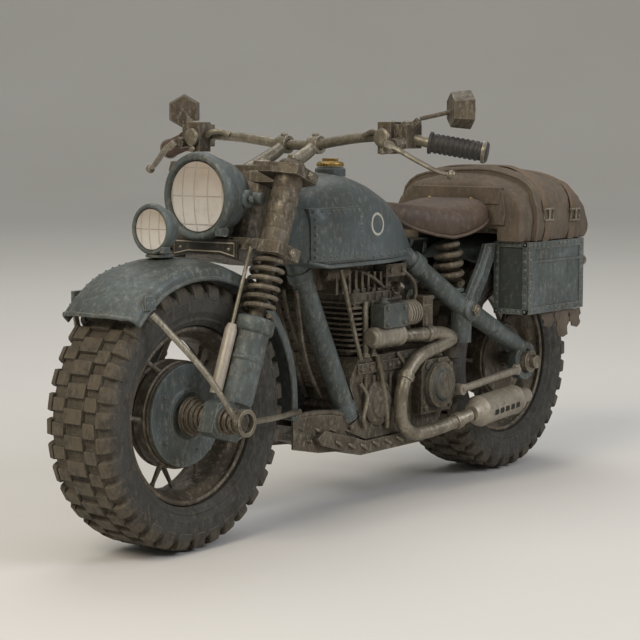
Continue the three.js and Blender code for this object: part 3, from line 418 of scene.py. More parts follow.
# Tyres: moulded rubber with a block tread of thirty-four pitches, one broad centre row, a staggered
# row each side and deep shoulder lugs. The walls are dark and blue-grey, the tread brown with dust.
def rubber(name, hub):
    def tread_dust(tree, where, under):
        from_hub = add(tree, "VectorMath", {0: where, 1: hub * MM}, operation="SUBTRACT")
        in_plane = add(tree, "VectorMath", {0: from_hub.outputs[0], 1: (0, 1, 1)}, operation="MULTIPLY")
        radius = add(tree, "VectorMath", {0: in_plane.outputs[0]}, operation="LENGTH")
        ragged = add(tree, "TexNoise", {"Vector": where, "Scale": 1 / (5 * MM), "Detail": 5.0})
        shift = add(tree, "MapRange", {"Value": ragged.outputs["Fac"], 3: -4 * MM, 4: 4 * MM})
        uneven = calc(tree, "ADD", radius.outputs["Value"], shift.outputs[0])
        on_tread = ramp(tree, uneven, 43 * MM, 47 * MM, 0.0, 1.0)
        return mix(tree, on_tread, under, linear("#544c3e"))
    return aged(name, "#41413d", "#373632", "#39332a", "#6e675a", 0.0, 0.76, 0.62, wear=0.75,
                relief=0.35, mark=tread_dust)


PITCHES = 34
for which, phase in (("front", 0.0), ("rear", 0.4)):
    hub = middle(which + "_tyre")
    tyre_low, tyre_high = box_of(which + "_tyre")
    crown = (tyre_high.z - tyre_low.z) / 2 - 0.3
    wall = (tyre_high.x - tyre_low.x) / 2
    rnd = random.Random(7)
    carcass = [(-wall + 3.5, 33.2), (wall - 3.5, 33.2), (wall - 1.6, 35.4), (wall - 1.9, 36.2),
               (wall - 0.7, 38.4), (wall - 0.9, 39.2), (wall - 0.3, 42), (wall - 1.0, 44.6),
               (wall - 3.4, 46.8), (wall - 6, 47.5), (0, crown - 2.1), (6 - wall, 47.5),
               (3.4 - wall, 46.8), (1.0 - wall, 44.6), (0.3 - wall, 42), (0.9 - wall, 39.2),
               (0.7 - wall, 38.4), (1.9 - wall, 36.2), (1.6 - wall, 35.4)]
    tyre_solids = [lathe(hub, X, carcass, 136, closed=True)]
    step = 2 * math.pi / PITCHES
    grow = 0.011
    for k in range(PITCHES):
        rows = [(-4.3, 4.3, 0.0, 0.30), (5.0, 10.4, 0.5, 0.27), (-10.4, -5.0, 0.5, 0.27)]
        for x0, x1, offset, half in rows:
            a = (k + offset + phase) * step + rnd.uniform(-0.012, 0.012)
            h = half * step * rnd.uniform(0.9, 1.08)
            lift = crown - rnd.uniform(0.0, 0.5) - (0.25 if offset else 0)
            foot = [on_wheel(hub, x0 - 0.4, 47, a - h - grow),
                    on_wheel(hub, x1 + 0.4, 47, a - h - grow),
                    on_wheel(hub, x1 + 0.4, 47, a + h + grow),
                    on_wheel(hub, x0 - 0.4, 47, a + h + grow)]
            head = [on_wheel(hub, x0, lift, a - h), on_wheel(hub, x1, lift, a - h),
                    on_wheel(hub, x1, lift, a + h), on_wheel(hub, x0, lift, a + h)]
            tyre_solids.append(skin([foot, head]))
        for s in (1, -1):
            a = (k + (0.0 if s > 0 else 0.5) + phase) * step
            h = 0.29 * step * rnd.uniform(0.92, 1.1)
            high = crown - 0.3 - rnd.uniform(0, 0.4)
            rings = []
            for angle, r_in in ((a - h - 0.012, 1.4), (a - h, 0.0), (a + h, 0.0), (a + h + 0.012, 1.4)):
                rings.append([on_wheel(hub, s * x, r, angle) for x, r in (
                    (11.0, 46.4), (13.2, 45.4), (14.4, 42.4),
                    (wall - 0.1 - 0.5 * r_in, 42.8 - 0.3 * r_in), (14.9 - 0.4 * r_in, 46.6 - r_in),
                    (13.6, 48.4 - r_in), (11.2, high - r_in))])
            tyre_solids.append(skin(rings))
    piece(which + "_tyre_rubber", rubber(which + " tyre rubber", hub), tyre_solids,
          node=which + "_tyre", replaces=True, edge=0.22, sharp=40)

# Rims: rolled steel hoops with a stepped well. Twelve crossed spokes run from nipples in the well to
# a cast brake drum, and the whole wheel is brown with old oil.
for which, drum, half in (("front", 20.0, 7.4), ("rear", 17.0, 11.0)):
    hub = middle(which + "_rim")
    hoop = [(-10.4, 33.0), (-11.0, 32.7), (-11.3, 31.8), (-10.8, 31.0), (-9.8, 31.0), (-9.0, 31.3),
            (-7.8, 30.6), (-6.6, 29.4), (-5.4, 28.8), (-4.6, 28.3), (4.6, 28.3), (5.4, 28.8),
            (6.6, 29.4), (7.8, 30.6), (9.0, 31.3), (9.8, 31.0), (10.8, 31.0), (11.3, 31.8),
            (11.0, 32.7), (10.4, 33.0)]
    drum_profile = [(-half, 3.4), (-half, drum * 0.55), (-half * 0.85, drum * 0.62),
                    (-half * 0.5, drum * 0.7), (-half * 0.35, drum * 0.93), (-half * 0.25, drum),
                    (-1, drum), (-0.6, drum - 0.8), (0.6, drum - 0.8), (1, drum), (half - 1.8, drum),
                    (half - 1.4, drum - 0.7), (half - 0.6, drum - 0.7), (half, drum - 1.2), (half, 3.4)]
    rim_solids = [lathe(hub, X, hoop, 96, closed=True), lathe(hub, X, drum_profile, 72, closed=True)]
    for k in range(12):
        angle = k * math.pi / 6
        lean = (1 if k % 2 else -1) * min(4.6, half - 2.4)
        foot = on_wheel(hub, lean, drum - 1.4, angle)
        head = on_wheel(hub, lean * 0.3, 28.6, angle + 0.1 * (1 if k % 4 < 2 else -1))
        rim_solids.append(sweep([foot, foot.lerp(head, 0.5), head], lambda t: 1.15 - 0.45 * t, 8))
        rim_solids.append(lathe(foot.lerp(head, 0.8), head - foot,
                                [(0, 0), (0, 0.9), (2.2, 1.3), (2.6, 1.3), (2.6, 0)], 8))
    piece(which + "_wheel_metal", grimy_steel, rim_solids, node=which + "_rim", replaces=True,
          edge=0.12)

# Brake plate: a shallow cone of pressed tin under blue-grey enamel, with a raised centre ring and five
# rivets. It turns with the wheel.
hub = middle("front_rim")
plate_low, plate_high = box_of("front_hub_cap")
x0, x1 = plate_low.x - hub.x, plate_high.x - hub.x
cap_solids = [lathe(hub, X, [(x0, 3.4), (x0, 18.9), (x0 + 0.5, 19.1), (x0 + 1.1, 18.8),
                             (x0 + 1.3, 17.9), (x0 + 1.0, 17.2), (x1 - 0.9, 10.4), (x1 - 0.4, 9.9),
                             (x1 - 0.3, 8.8), (x1 - 0.7, 8.2), (x1 - 0.7, 3.4)],
                    80, closed=True)]
cap_solids += domes([(on_wheel(hub, x0 + 1.45, 14.4, a), X)
                     for a in (0.3, 1.55, 2.8, 4.07, 5.3)], 0.9)
piece("brake_plate", enamel, cap_solids, node="front_hub_cap", replaces=True)

# Front axle: one turned spindle. Ribbed sleeves fill the space between wheel and fork feet and end
# outside them in stacked collars.
axle = middle("front_axle")
reach = box_of("front_axle")[1].x - axle.x
sleeve = [(x1 + 1.1, 0), (x1 + 1.1, 7.4)]
for i in range(5):
    at = x1 + 1.5 + i * 1.75
    r = 7.2 - i * 0.62
    sleeve += [(at, r), (at + 1.0, r - 0.2), (at + 1.25, r - 1.3), (at + 1.55, r - 1.3)]
sleeve += [(20.3, 4.2), (20.3, 3.0), (27.7, 3.0), (27.7, 5.2), (28.9, 5.2), (29.1, 3.8), (29.8, 3.8),
           (30.0, 5.0), (31.2, 4.8), (31.4, 3.6), (32.1, 3.6), (32.3, 4.5), (33.3, 4.3), (33.5, 3.2),
           (35.2, 3.2), (reach, 2.5), (reach, 0)]
piece("spindle", grimy_steel, [lathe(axle, X, [(-9.5, 0), (-9.5, 3.0), (9.5, 3.0), (9.5, 0)], 32),
                               lathe(axle, X, sleeve, 40), lathe(axle, -X, sleeve, 40)],
      node="front_axle", replaces=True, edge=0.1)


# Mudguards: deep pressed-tin channels with a low crown, a flute along each side and a rolled bead round
# the whole edge. The front one runs to a soft point ahead of the wheel.
GUARD_RADIUS, GUARD_HALF = 54.0, 17.6


def mudguard(hub, start, stop, tip, steps):
    outer = [(0, 3.5), (4, 3.35), (8, 3.0), (11, 2.4), (12.6, 1.7), (13.6, 1.35), (14.8, 1.3),
             (16.0, 0.9), (17.0, 0.0), (17.5, -1.3), (17.6, -3.6)]
    outer = [(-x, r) for x, r in reversed(outer[1:])] + outer
    inner = [(x * 0.955, r - 0.8 if abs(x) < 15 else r) for x, r in reversed(outer)]

    def spot(share, x, r):
        first = start - tip * (1 - (x / GUARD_HALF) ** 2)
        angle = math.radians(first + (stop - first) * share)
        flare = -tip * 0.5 * max(0.0, 1 - share * 7)
        return on_wheel(hub, x, GUARD_RADIUS + r + flare, angle)

    solids = [skin([[spot(i / steps, x, r) for x, r in outer + inner] for i in range(steps + 1)])]
    rim_line = [spot(i / steps, 17.5, -3.6) for i in range(steps + 1)]
    rim_line += [spot(1, x, r - 0.3) for x, r in reversed(outer)]
    rim_line += [spot(1 - i / steps, -17.5, -3.6) for i in range(steps + 1)]
    rim_line += [spot(0, x, r - 0.3) for x, r in outer]
    thinned = [rim_line[0]]
    for p in rim_line[1:]:
        if (p - thinned[-1]).length > 0.5:
            thinned.append(p)
    if (thinned[-1] - thinned[0]).length < 0.5:
        thinned.pop()
    solids.append(sweep(thinned, 0.75, 8, loop=True))
    return solids, spot


front_hub = middle("front_tyre")
guard, guard_spot = mudguard(front_hub, -43, 98, 2.4, 66)
for s in (1, -1):
    for i in range(10):
        at = guard_spot(0.03 + i * 0.026, s * 15.4, 1.1)
        guard += domes([(at, at - front_hub - X * s * 15)], 0.55)
    pad = guard_spot(0.07, s * GUARD_HALF, -1.0)
    guard.append(block(pad - Vector((0.7, 2.6, 2.4)), pad + Vector((0.7, 2.6, 2.4))))
    guard += domes([(pad + X * s * 0.7 + Y * dy, X * s) for dy in (-1.3, 1.3)], 0.6)
piece("front_mudguard", enamel, guard, node="front_fender", replaces=True, sharp=50)

rear_hub = middle("rear_tyre")
guard, guard_spot = mudguard(rear_hub, -33, 76, 0.0, 56)
piece("rear_mudguard", enamel, guard, node="rear_fender", replaces=True, sharp=50)

# Mudguard stays: flattened steel rod, bent from an eye on the axle end up to a pad near the tip and
# back to the tail of the guard.
for side, s in (("left", 1), ("right", -1)):
    low, high = box_of("fender_stay_" + side)
    eye_x = (high.x if s > 0 else low.x)
    eye = Vector((eye_x - s * 1.0, axle.y, axle.z))
    top = Vector((s * (GUARD_HALF + 1.4), axle.y - 28.6, high.z - 0.6))
    tail = Vector((s * (GUARD_HALF + 1.4), high.y - 0.4, axle.z - 4))
    solids = [lathe(eye - X * 1.1, X, [(0, 3.5), (0, 5.0), (2.2, 5.0), (2.2, 3.5)], 32, closed=True)]
    solids.append(sweep(curve([eye + Y * -3.6, eye.lerp(top, 0.45) + X * s * 1.6,
                               top.lerp(eye, 0.12) + X * s * 0.9, top], 8),
                        1.35, 10, flat=0.65, hint=X))
    solids.append(sweep(curve([eye + Y * 3.6, eye.lerp(tail, 0.5) + X * s * 1.6, tail.lerp(eye, 0.1),
                               tail], 8),
                        1.1, 10, flat=0.8, hint=X))
    piece("mudguard_stay_" + side, bare_steel, solids, node="fender_stay_" + side,
          replaces=True, edge=0.1)

# Fork: laid out along the steering line. Steel covers and stanchions go up into the yokes, and enamelled
# sliders end in feet round the axle. The left slider also carries a pale damper tube.
joints = {row["name"]: row for row in record["behaviour"]["joints"]}
stem = Vector(joints["steering_turn"]["pos_m"]) / MM
UP = Vector(joints["steering_turn"]["axis"]).normalized()
BACK = Vector((0, UP.z, -UP.y))
LEG_X, LEG_BACK = 24.0, -9.8


def fork_at(x, back, up):
    return stem + X * x + BACK * back + UP * up


damper_paint = aged("pale damper enamel", "#a79f92", "#8f8778", "#5c5240", "#bdb6a8", 0.1, 0.4, 0.25)
for side, s in (("left", 1), ("right", -1)):
    x = s * LEG_X
    foot = fork_at(x, LEG_BACK, 0)
    cover = [(-80, 0), (-80, 3.0), (-29.7, 3.0), (-29.7, 6.6), (-28.9, 6.9), (-27.6, 6.9), (-27.0, 5.9),
             (-25.2, 5.4)]
    for i in range(4):
        cover += [(-20 + i * 5.2, 5.4), (-19.4 + i * 5.2, 5.1), (-18.8 + i * 5.2, 5.4)]
    cover += [(4, 5.4), (6.4, 5.2), (7.6, 4.2), (8.0, 2.2), (8.6, 2.0), (8.8, 0)]
    piece("fork_cover_" + side, grimy_steel, [lathe(foot, UP, cover, 40)], node="fork_leg_" + side,
          replaces=True, edge=0.12)
    tube = [(-86, 0), (-86, 6.0), (-84, 6.4), (-70, 6.4), (-69.6, 6.8), (-68.4, 6.8), (-68, 6.4),
            (-59.4, 6.4), (-58.8, 7.3), (-57.8, 7.7), (-54.6, 7.7), (-53.6, 7.3), (-53.3, 6.4),
            (-53.3, 3.3), (-82.9, 3.3), (-83, 0)]
    shoe = [(-22.7, -99.3), (-19, -100.2), (-8, -99.4), (-4.0, -96), (-3.8, -85.4), (-14.6, -84.4),
            (-22.4, -88.4)]
    solids = [lathe(foot, UP, tube, 40),
              slab(shoe, fork_at(x - 3.4, 0, 0), BACK, UP, 6.8)]
    solids += [lathe(fork_at(x + s * 3.3, -16.7, -93.3), X * s,
                     [(0, 4.6), (0, 6.2), (0.5, 6.2), (0.8, 4.6)], 28, closed=True)]
    solids += domes([(fork_at(x + s * 3.4, -7.0, up), X * s) for up in (-90, -96.6)], 0.9)
    piece("fork_slider_shell_" + side, enamel, solids, node="fork_slider_" + side,
          replaces=True, edge=0.25)
    wire = []
    low_end, high_end = -51.9, -31.1
    for i in range(6 * 18 + 1):
        angle = i / 18 * 2 * math.pi
        share = i / (6 * 18)
        wire.append(fork_at(x + 5.7 * math.cos(angle), LEG_BACK + 5.7 * math.sin(angle),
                            low_end + share * (high_end - low_end)))
    coil = piece("fork_coil_" + side, grimy_steel, [sweep(wire, 0.95, 8)], node="fork_spring_" + side,
                 replaces=True)
    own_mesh(coil)

damper_foot, damper_top = fork_at(21, -18.2, -84.4), fork_at(21.4, -18.6, -58)
piece("damper_tube", damper_paint, [
    sweep([damper_foot, damper_foot.lerp(damper_top, 0.04), damper_foot.lerp(damper_top, 0.92),
           damper_top],
          lambda t: 2.3 if t < 0.9 else 1.6, 20)], node="fork_slider_left", edge=0.2)
piece("damper_rod", bare_steel, [sweep([damper_top - UP * 8, fork_at(22, -19.4, -28)], 0.75, 12),
                                 lathe(fork_at(20.6, -19.4, -27.4), X,
                                       [(0, 0), (0, 1.6), (2.8, 1.6), (2.8, 0)], 16),
                                 block(fork_at(22, -16.4, -27.4) - Vector((1.2, 3.2, 1)),
                                       fork_at(22, -16.4, -27.4) + Vector((1.2, 3.2, 1)))],
      node="fork_yokes")
yoke_nuts = [nut(fork_at(s * LEG_X, LEG_BACK, 8.4), UP, 2.6, 1.6) for s in (1, -1)]
yoke_nuts.append(nut(fork_at(0, 0, 5), UP, 4.2, 1.4))
for s in (1, -1):
    for up in (3.0, -27.2):
        yoke_nuts.append(nut(fork_at(s * 32, -8, up), X * s, 1.7, 1.2))
piece("yoke_nuts", bare_steel, yoke_nuts, node="fork_yokes", edge=0.1)

# Lamps: spun tin bowls in blue-grey enamel, each with a rolled bezel, a clamp block and a domed lens of
# cream pressed glass moulded with a grid of flutes. The small one stands on a post on the mudguard.
def pressed_glass(name, centre, pitch):
    material, tree, shader = new_material(name)
    where = add(tree, "TexCoord").outputs["Object"]
    from_centre = add(tree, "VectorMath", {0: where, 1: centre * MM}, operation="SUBTRACT").outputs[0]
    parts = add(tree, "SeparateXYZ", {0: from_centre})
    lines = []
    for axis, share in (("X", 1.0), ("Z", 1.7)):
        cell = calc(tree, "PINGPONG", parts.outputs[axis], pitch * share * MM)
        lines.append(ramp(tree, cell, 0.0, 0.14 * pitch * MM, 1.0, 0.0))
    grid = calc(tree, "MAXIMUM", lines[0], lines[1])
    cloud = add(tree, "TexNoise", {"Vector": where, "Scale": 1 / (6 * MM), "Detail": 5.0})
    # Painted light: the glass is painted lighter low down as a highlight and darker at the top as shade.
    height = add(tree, "MapRange", {"Value": parts.outputs["Z"], 1: -2.6 * pitch * MM,
                                    2: 2.6 * pitch * MM})
    cream_with_painted_light = mix(tree, height.outputs[0], linear("#d0ccc5"), linear("#a0968a"))
    dust = ramp(tree, cloud.outputs["Fac"], 0.5, 0.75, 0.0, 0.5)
    dusty = mix(tree, dust, cream_with_painted_light, linear("#9a8a76"))
    broken = calc(tree, "MULTIPLY", grid, cloud.outputs["Fac"])
    colour = mix(tree, broken, dusty, linear("#857a6b"))
    tree.links.new(colour, shader.inputs["Base Color"])
    shader.inputs["Roughness"].default_value = 0.16
    shader.inputs["Coat Weight"].default_value = 0.6
    bump = add(tree, "Bump", {"Height": grid, "Distance": 0.25 * MM, "Strength": 0.7})
    bump.invert = True
    tree.links.new(bump.outputs["Normal"], shader.inputs["Normal"])
    return material


for lamp, scale in (("headlamp", 1.0), ("aux_lamp", 0.567)):
    lens_low, lens_high = box_of(lamp + "_lens")
    shell_foot = box_of(lamp + "_shell")[0].z
    face = Vector((0, lens_low.y + 0.9 * scale, (lens_low.z + lens_high.z) / 2))
    depth = (24.0 if scale == 1 else 11.4)
    r = (16.4 if scale == 1 else 9.3)
    bowl = [(-depth, 0), (-depth * 0.99, r * 0.2), (-depth * 0.93, r * 0.42), (-depth * 0.8, r * 0.62),
            (-depth * 0.6, r * 0.79), (-depth * 0.38, r * 0.89), (-depth * 0.2, r * 0.93),
            (-4.8 * scale, r * 0.94), (-4.5 * scale, r * 0.97), (-4.0 * scale, r * 0.99),
            (-3.4 * scale, r), (-1.2 * scale, r), (-0.4 * scale, r * 0.985), (0.2 * scale, r * 0.955),
            (0.4 * scale, r * 0.92), (0.1 * scale, r * 0.86), (-0.9 * scale, r * 0.815),
            (-3.1 * scale, r * 0.8), (-3.1 * scale, 0)]
    solids = [lathe(face, -Y, bowl, 72)]
    clamp = face + Vector((0.64, 0, -0.77)) * (r * 1.02) + Y * 2.2 * scale
    solids.append(block(clamp - Vector((1.4, 2.2, 1.4)) * scale ** 0.5,
                        clamp + Vector((1.4, 2.2, 1.4)) * scale ** 0.5))
    if scale == 1:
        ears = 18.3
        solids.append(sweep([Vector((-ears, stem.y - 17, stem.z - 3)),
                             Vector((ears, stem.y - 17, stem.z - 3))], 2.4, 16))
        for s in (1, -1):
            solids.append(lathe(Vector((s * 14.0, stem.y - 21, stem.z - 3)), X * s,
                                [(-2, 0), (-2, 3.4), (0.6, 3.4), (1.1, 2.6), (1.1, 0)], 28))
            solids.append(nut(Vector((s * 15.6, stem.y - 21, stem.z - 3)), X * s, 1.5, 0.8))
    else:
        post = Vector((0, face.y + 5, 0))
        solids.append(lathe(post + Z * shell_foot, Z, [(0, 0), (0, 5.2), (0.8, 5.2), (1.6, 3.4),
                                                       (3, 2.4), (6, 2.2), (9, 2.6), (9, 0)], 24))
    piece(lamp + "_bowl", enamel, solids, node=lamp + "_shell", replaces=True, edge=0.12)
    glass = [(-2.7 * scale, 0), (-2.7 * scale, r * 0.785), (-0.9 * scale, r * 0.79)]
    glass += [(0.9 * scale - 1.9 * scale * (k / 8) ** 2, r * 0.79 * k / 8) for k in range(7, -1, -1)]
    piece(lamp + "_glass", pressed_glass(lamp + " pressed glass", face, 3.1 * scale ** 0.6),
          [lathe(face, -Y, glass, 64)], node=lamp + "_lens", replaces=True)

# Front plate: a blank black-enamelled tin plate with a thin pale border line, held by two rivets.
low, high = box_of("front_plate")
front_y = low.y - 0.25
rim = [Vector((s * x, front_y + 0.1, z)) for s, x, z in (
    (-1, 14.8, low.z + 1.5), (-1, 8, low.z + 2.9), (1, 8, low.z + 2.9), (1, 14.8, low.z + 1.5),
    (1, 14.8, high.z - 1.3), (-1, 14.8, high.z - 1.3))]
line_paint = aged("pale lining paint", "#a39c8c", "#857d6c", "#4a4234", "#b5ae9f", 0.0, 0.55, 0.4)
piece("plate_lining", line_paint, [sweep(rim, 0.28, 6, loop=True, hint=Y)], node="front_plate")
piece("plate_rivets", bare_steel,
      domes([(Vector((x, front_y + 0.25, high.z - 3.6)), -Y) for x in (-12, 12)], 0.8),
      node="front_plate")


# Handlebar: one bent steel tube on two cast risers. Ribbed grips close its ends, and each side has a
# clamp with a long lever whose ball end reaches out in front of the grip.
def bar_at(x, y, z):
    return stem + Vector((x, y, z))


half_bar = [(79.4, 37.6, 14.3), (70, 32.9, 16.2), (60, 28.1, 18), (50, 26.5, 20.4), (39, 26.3, 20.0),
            (28, 26.5, 19.2), (17, 27.0, 17.8), (8, 27.5, 16.6)]
whole = [bar_at(-x, y, z) for x, y, z in half_bar] + [bar_at(x, y, z) for x, y, z in reversed(half_bar)]
solids = [sweep(curve(whole, 6), 2.0, 18)]
for s in (1, -1):
    riser = curve([bar_at(s * 8, 4.6, 6.4), bar_at(s * 8, 12, 9.4), bar_at(s * 8, 22, 13.6),
                   bar_at(s * 8, 27.4, 16.6)], 6)
    solids.append(sweep(riser, lambda t: 3.1 - 0.8 * t, 16))
    solids.append(lathe(bar_at(s * 8 - 2.6, 27.4, 16.6), X,
                        [(0, 2.1), (0, 3.6), (5.2, 3.6), (5.2, 2.1)], 24, closed=True))
    solids.append(nut(bar_at(s * 8, 27.4, 20.0), Z, 1.5, 1.1))
solids.append(block(bar_at(-11, 0.4, 6.2), bar_at(11, 8.2, 9)))
solids.append(nut(bar_at(0, 4.2, 9), Z, 3.6, 2.0))
piece("bar_tube", bare_steel, solids, node="handlebar", replaces=True, edge=0.15)

black_grip = aged("black moulded grip", "#262523", "#1d1c1b", "#3a352c", "#56524a", 0.0, 0.55, 0.2)
brown_grip = aged("brown wrapped grip", "#5b4438", "#48362d", "#332a22", "#7d6657", 0.0, 0.7, 0.3)
for side, s in (("left", 1), ("right", -1)):
    near, far = bar_at(s * 60, 28.1, 18), bar_at(s * 80, 38, 14.2)
    along = (far - near).normalized()
    length = (far - near).length + 1.2
    ribs = [(1.4, 0), (1.4, 4.2), (2.4, 4.2), (2.6, 3.5)]
    for k in range(9):
        at = 3.4 + k * 1.9
        ribs += [(at, 3.4), (at + 0.35, 3.75), (at + 1.2, 3.75), (at + 1.55, 3.4)]
    ribs += [(length - 1.9, 3.5), (length - 1.7, 3.9), (length - 0.5, 3.9), (length - 0.1, 3.4),
             (length - 0.1, 0)]
    piece("bar_grip_" + side, black_grip if s > 0 else brown_grip, [lathe(near, along, ribs, 32)],
          node="grip_" + side, replaces=True)
    piece("bar_end_" + side, bare_steel,
          [lathe(near, along, [(length - 2.2, 0), (length - 2.2, 4.1), (length - 1.4, 4.3),
                              (length - 0.8, 4.1), (length - 0.8, 0)], 32)], node="grip_" + side)
    lever = "clutch_lever" if s > 0 else "brake_lever"
    x = s * 52
    path = curve([bar_at(x + s * 2.6, 12, 16.2), bar_at(x + s * 6, 13, 15.2),
                  bar_at(x + s * 12, 15.6, 11.6),
                  bar_at(x + s * 19, 19, 7.6), bar_at(x + s * 24, 21.9, 6)], 6)
    solids = [sweep(path, lambda t: 1.75 - 0.5 * t, 12, flat=0.62),
              lathe(path[0], Vector((0.531 * s, -0.436, 0.727)),
                    [(-1.3, 0), (-1.3, 2.1), (1.3, 2.1), (1.3, 0)], 20),
              lathe(path[-1], path[-1] - path[-2], [(-1.9, 0)] + [
                  (1.9 * math.sin(math.radians(a)), 1.9 * math.cos(math.radians(a)))
                  for a in range(-75, 76, 15)] + [(1.9, 0)], 20)]
    piece(lever + "_blade", bare_steel, solids, node=lever, replaces=True, edge=0.1)
    wires = [lathe(Vector((x - s * 5, stem.y + 26.5, stem.z + 20.4)), X * s,
                   [(0, 2.2), (0, 4.6), (3.4, 4.6), (3.4, 2.2)], 28, closed=True),
             lathe(bar_at(x - s * 4, 17.4, 19.5), -Y,
                   [(0, 0), (0, 3.6), (1.0, 3.6), (1.6, 2.8), (1.8, 0)], 24),
             nut(bar_at(x + s * 1.4, 25, 24.6), Z, 1.9, 1.1),
             nut(bar_at(x - s * 2.6, 22, 24.6), Z, 1.5, 1.0),
             nut(bar_at(x - s * 4, 17.6, 14.6), -Y, 1.5, 1.0),
             sweep(curve([bar_at(x - s * 7, 22.5, 19.5), bar_at(x - s * 10, 22, 21.4),
                          bar_at(x - s * 14, 23.6, 21.6), bar_at(x - s * 18, 24.4, 20.2)], 5), 1.1, 10)]
    piece("control_fittings_" + side, bare_steel, wires, node="control_" + side, edge=0.1)

# Mirrors: six-sided cast heads on thin stems, with a dark glass set in the side that faces the rider.
mirror_glass = aged("tarnished mirror glass", "#5b4a42", "#43403c", "#2f2b26", "#6d6156", 0.4, 0.2,
                    0.35)
for side, s in (("left", 1), ("right", -1)):
    centre = bar_at(s * 70, 36.5, 30)
    out = Vector((s * 2.6, 3, 0)).normalized()
    piece("mirror_glass_" + side, mirror_glass,
          [lathe(centre, out, [(3.2, 0), (3.2, 6.0), (4.15, 6.0), (4.3, 5.6), (4.3, 0)], 6)],
          node="mirror_" + side)


# Tank: a folded tin shell, deep in front and falling away to the saddle, with rounded shoulders. Each
# side has a riveted panel and a painted plain ring, and a seam flange runs along the bottom.
def tank_ring(tree, where, under):
    parts = add(tree, "SeparateXYZ", {0: where})
    flat_spot = add(tree, "CombineXYZ", {"Y": parts.outputs["Y"], "Z": parts.outputs["Z"]}).outputs[0]
    away = add(tree, "VectorMath", {0: flat_spot, 1: Vector((0, ring_y, ring_z)) * MM},
               operation="DISTANCE")
    off = calc(tree, "SUBTRACT", away.outputs["Value"], 4.1 * MM)
    wide = add(tree, "Math", {0: off}, operation="ABSOLUTE")
    line = ramp(tree, wide.outputs[0], 0.35 * MM, 0.6 * MM, 0.85, 0.0)
    return mix(tree, line, under, linear("#c4c1b6"))


RAKE = math.radians(21.1)
STEM_ROOM = 9.4
stem_back = Vector((0, math.cos(RAKE), -math.sin(RAKE)))
nose_y = box_of("fuel_tank")[0].y
ring_y, ring_z = nose_y + 46.2, 116.2
tank_enamel = aged("tank enamel", "#505b5d", "#434a49", "#453d30", "#8c8c81", 0.1, 0.36, 0.3,
                   mark=tank_ring)


def between(table, at):
    for (a, va), (b, vb) in zip(table, table[1:]):
        if at <= b:
            return va + (vb - va) * max(0.0, (at - a) / (b - a))
    return table[-1][1]


roof = [(0, 118), (1.5, 122), (4, 126.4), (8, 129.6), (14, 132.8), (22, 135.4), (34, 136.6),
        (42, 135.6), (50, 133), (60, 128.6), (71, 122), (82, 111.6), (92, 101.6), (94.2, 100.4)]
beam = [(0, 12.6), (1.5, 15.0), (5, 18.9), (9, 22.2), (14, 23.5), (44, 23.5), (52, 22.9), (60, 21.2),
        (74, 16.5), (88, 10), (94.2, 6.6)]
belly = [(0, 109), (2, 105.5), (5, 102.6), (10, 101), (14, 100.2), (94.2, 100)]
section = [(0, 0), (0.5, 0), (0.86, 0.004), (0.96, 0.02), (0.995, 0.07), (1, 0.15), (1, 0.34),
           (0.992, 0.5), (0.965, 0.64), (0.905, 0.76), (0.8, 0.86), (0.64, 0.93), (0.44, 0.972),
           (0.22, 0.993), (0, 1)]
section = section + [(-a, b) for a, b in reversed(section[1:-1])]
stations = [0, 0.7, 1.5, 3, 5, 7, 9, 11.5, 14] + [14 + i * 4 for i in range(1, 20)] + [92, 94.2]
rings = []
for at in stations:
    w, z0, z1 = between(beam, at), between(belly, at), between(roof, at)
    ring = [Vector((a * w, nose_y + at, z0 + b * (z1 - z0))) for a, b in section]
    for spot in ring:
        behind = (spot - stem).dot(stem_back)
        room = math.sqrt(max(0.0, STEM_ROOM ** 2 - spot.x ** 2))
        if abs(spot.x) < STEM_ROOM and behind < room:
            spot.y += (room - behind) / stem_back.y
    rings.append(ring)
tank_solids = [skin(rings)]
for s in (1, -1):
    face_at = lambda y, z: Vector((s * (between(beam, y) * (1 - max(0.0, z - 116) ** 2 * 0.00125)),
                                   nose_y + y, z))
    levels = [103.4, 106, 110, 114, 117, 119, 121, 122.4, 123.6]
    sheet = []
    for i in range(16):
        y = 6.4 + i * 29.6 / 15
        outside = [face_at(y, z) + X * s * 0.9 for z in levels]
        inside = [face_at(y, z) - X * s * 1.5 for z in reversed(levels)]
        sheet.append(outside + inside)
    tank_solids.append(skin(sheet))
    spots = [(face_at(8.0 + i * 3.3, z) + X * s * 0.85, X * s) for i in range(9) for z in (105, 122.2)]
    spots += [(face_at(y, 105 + i * 2.85) + X * s * 0.85, X * s) for i in range(1, 6)
              for y in (8.0, 34.4)]
    tank_solids += domes(spots, 0.8)
    seam = []
    for at in range(6, 93, 4):
        seam.append(Vector((s * (between(beam, at) + 0.35), nose_y + at, between(belly, at) + 0.9)))
    tank_solids.append(sweep(seam, 0.75, 8, flat=0.7, hint=X))
    tank_solids += domes([(Vector((s * (between(beam, at) + 0.1), nose_y + at, 103.6)), X * s)
                          for at in range(43, 88, 6)], 0.75)
piece("tank_shell", tank_enamel, tank_solids, node="fuel_tank", replaces=True, edge=0.12, sharp=46)
cap_low, cap_high = box_of("fuel_cap")
cap_mid = (cap_low + cap_high) / 2
neck = [(-4, 0), (-4, 6.2), (-0.9, 6.2), (-0.5, 5.6), (-0.3, 5.4), (-0.3, 0)]
piece("filler_neck", tank_enamel, [lathe(Vector((cap_mid.x, cap_mid.y, cap_low.z)), Z, neck, 40)],
      node="fuel_tank")
knurl = [lathe(Vector((cap_mid.x, cap_mid.y, cap_low.z)), Z,
               [(0, 0), (0, 5.3), (1.4, 5.4), (1.9, 4.9), (2.1, 4.0), (2.1, 0)], 40)]
for k in range(24):
    a = k * math.pi / 12
    knurl.append(sweep([Vector((cap_mid.x + 5.35 * math.cos(a), cap_mid.y + 5.35 * math.sin(a),
                                cap_low.z + z)) for z in (0.15, 1.3)], 0.3, 6))
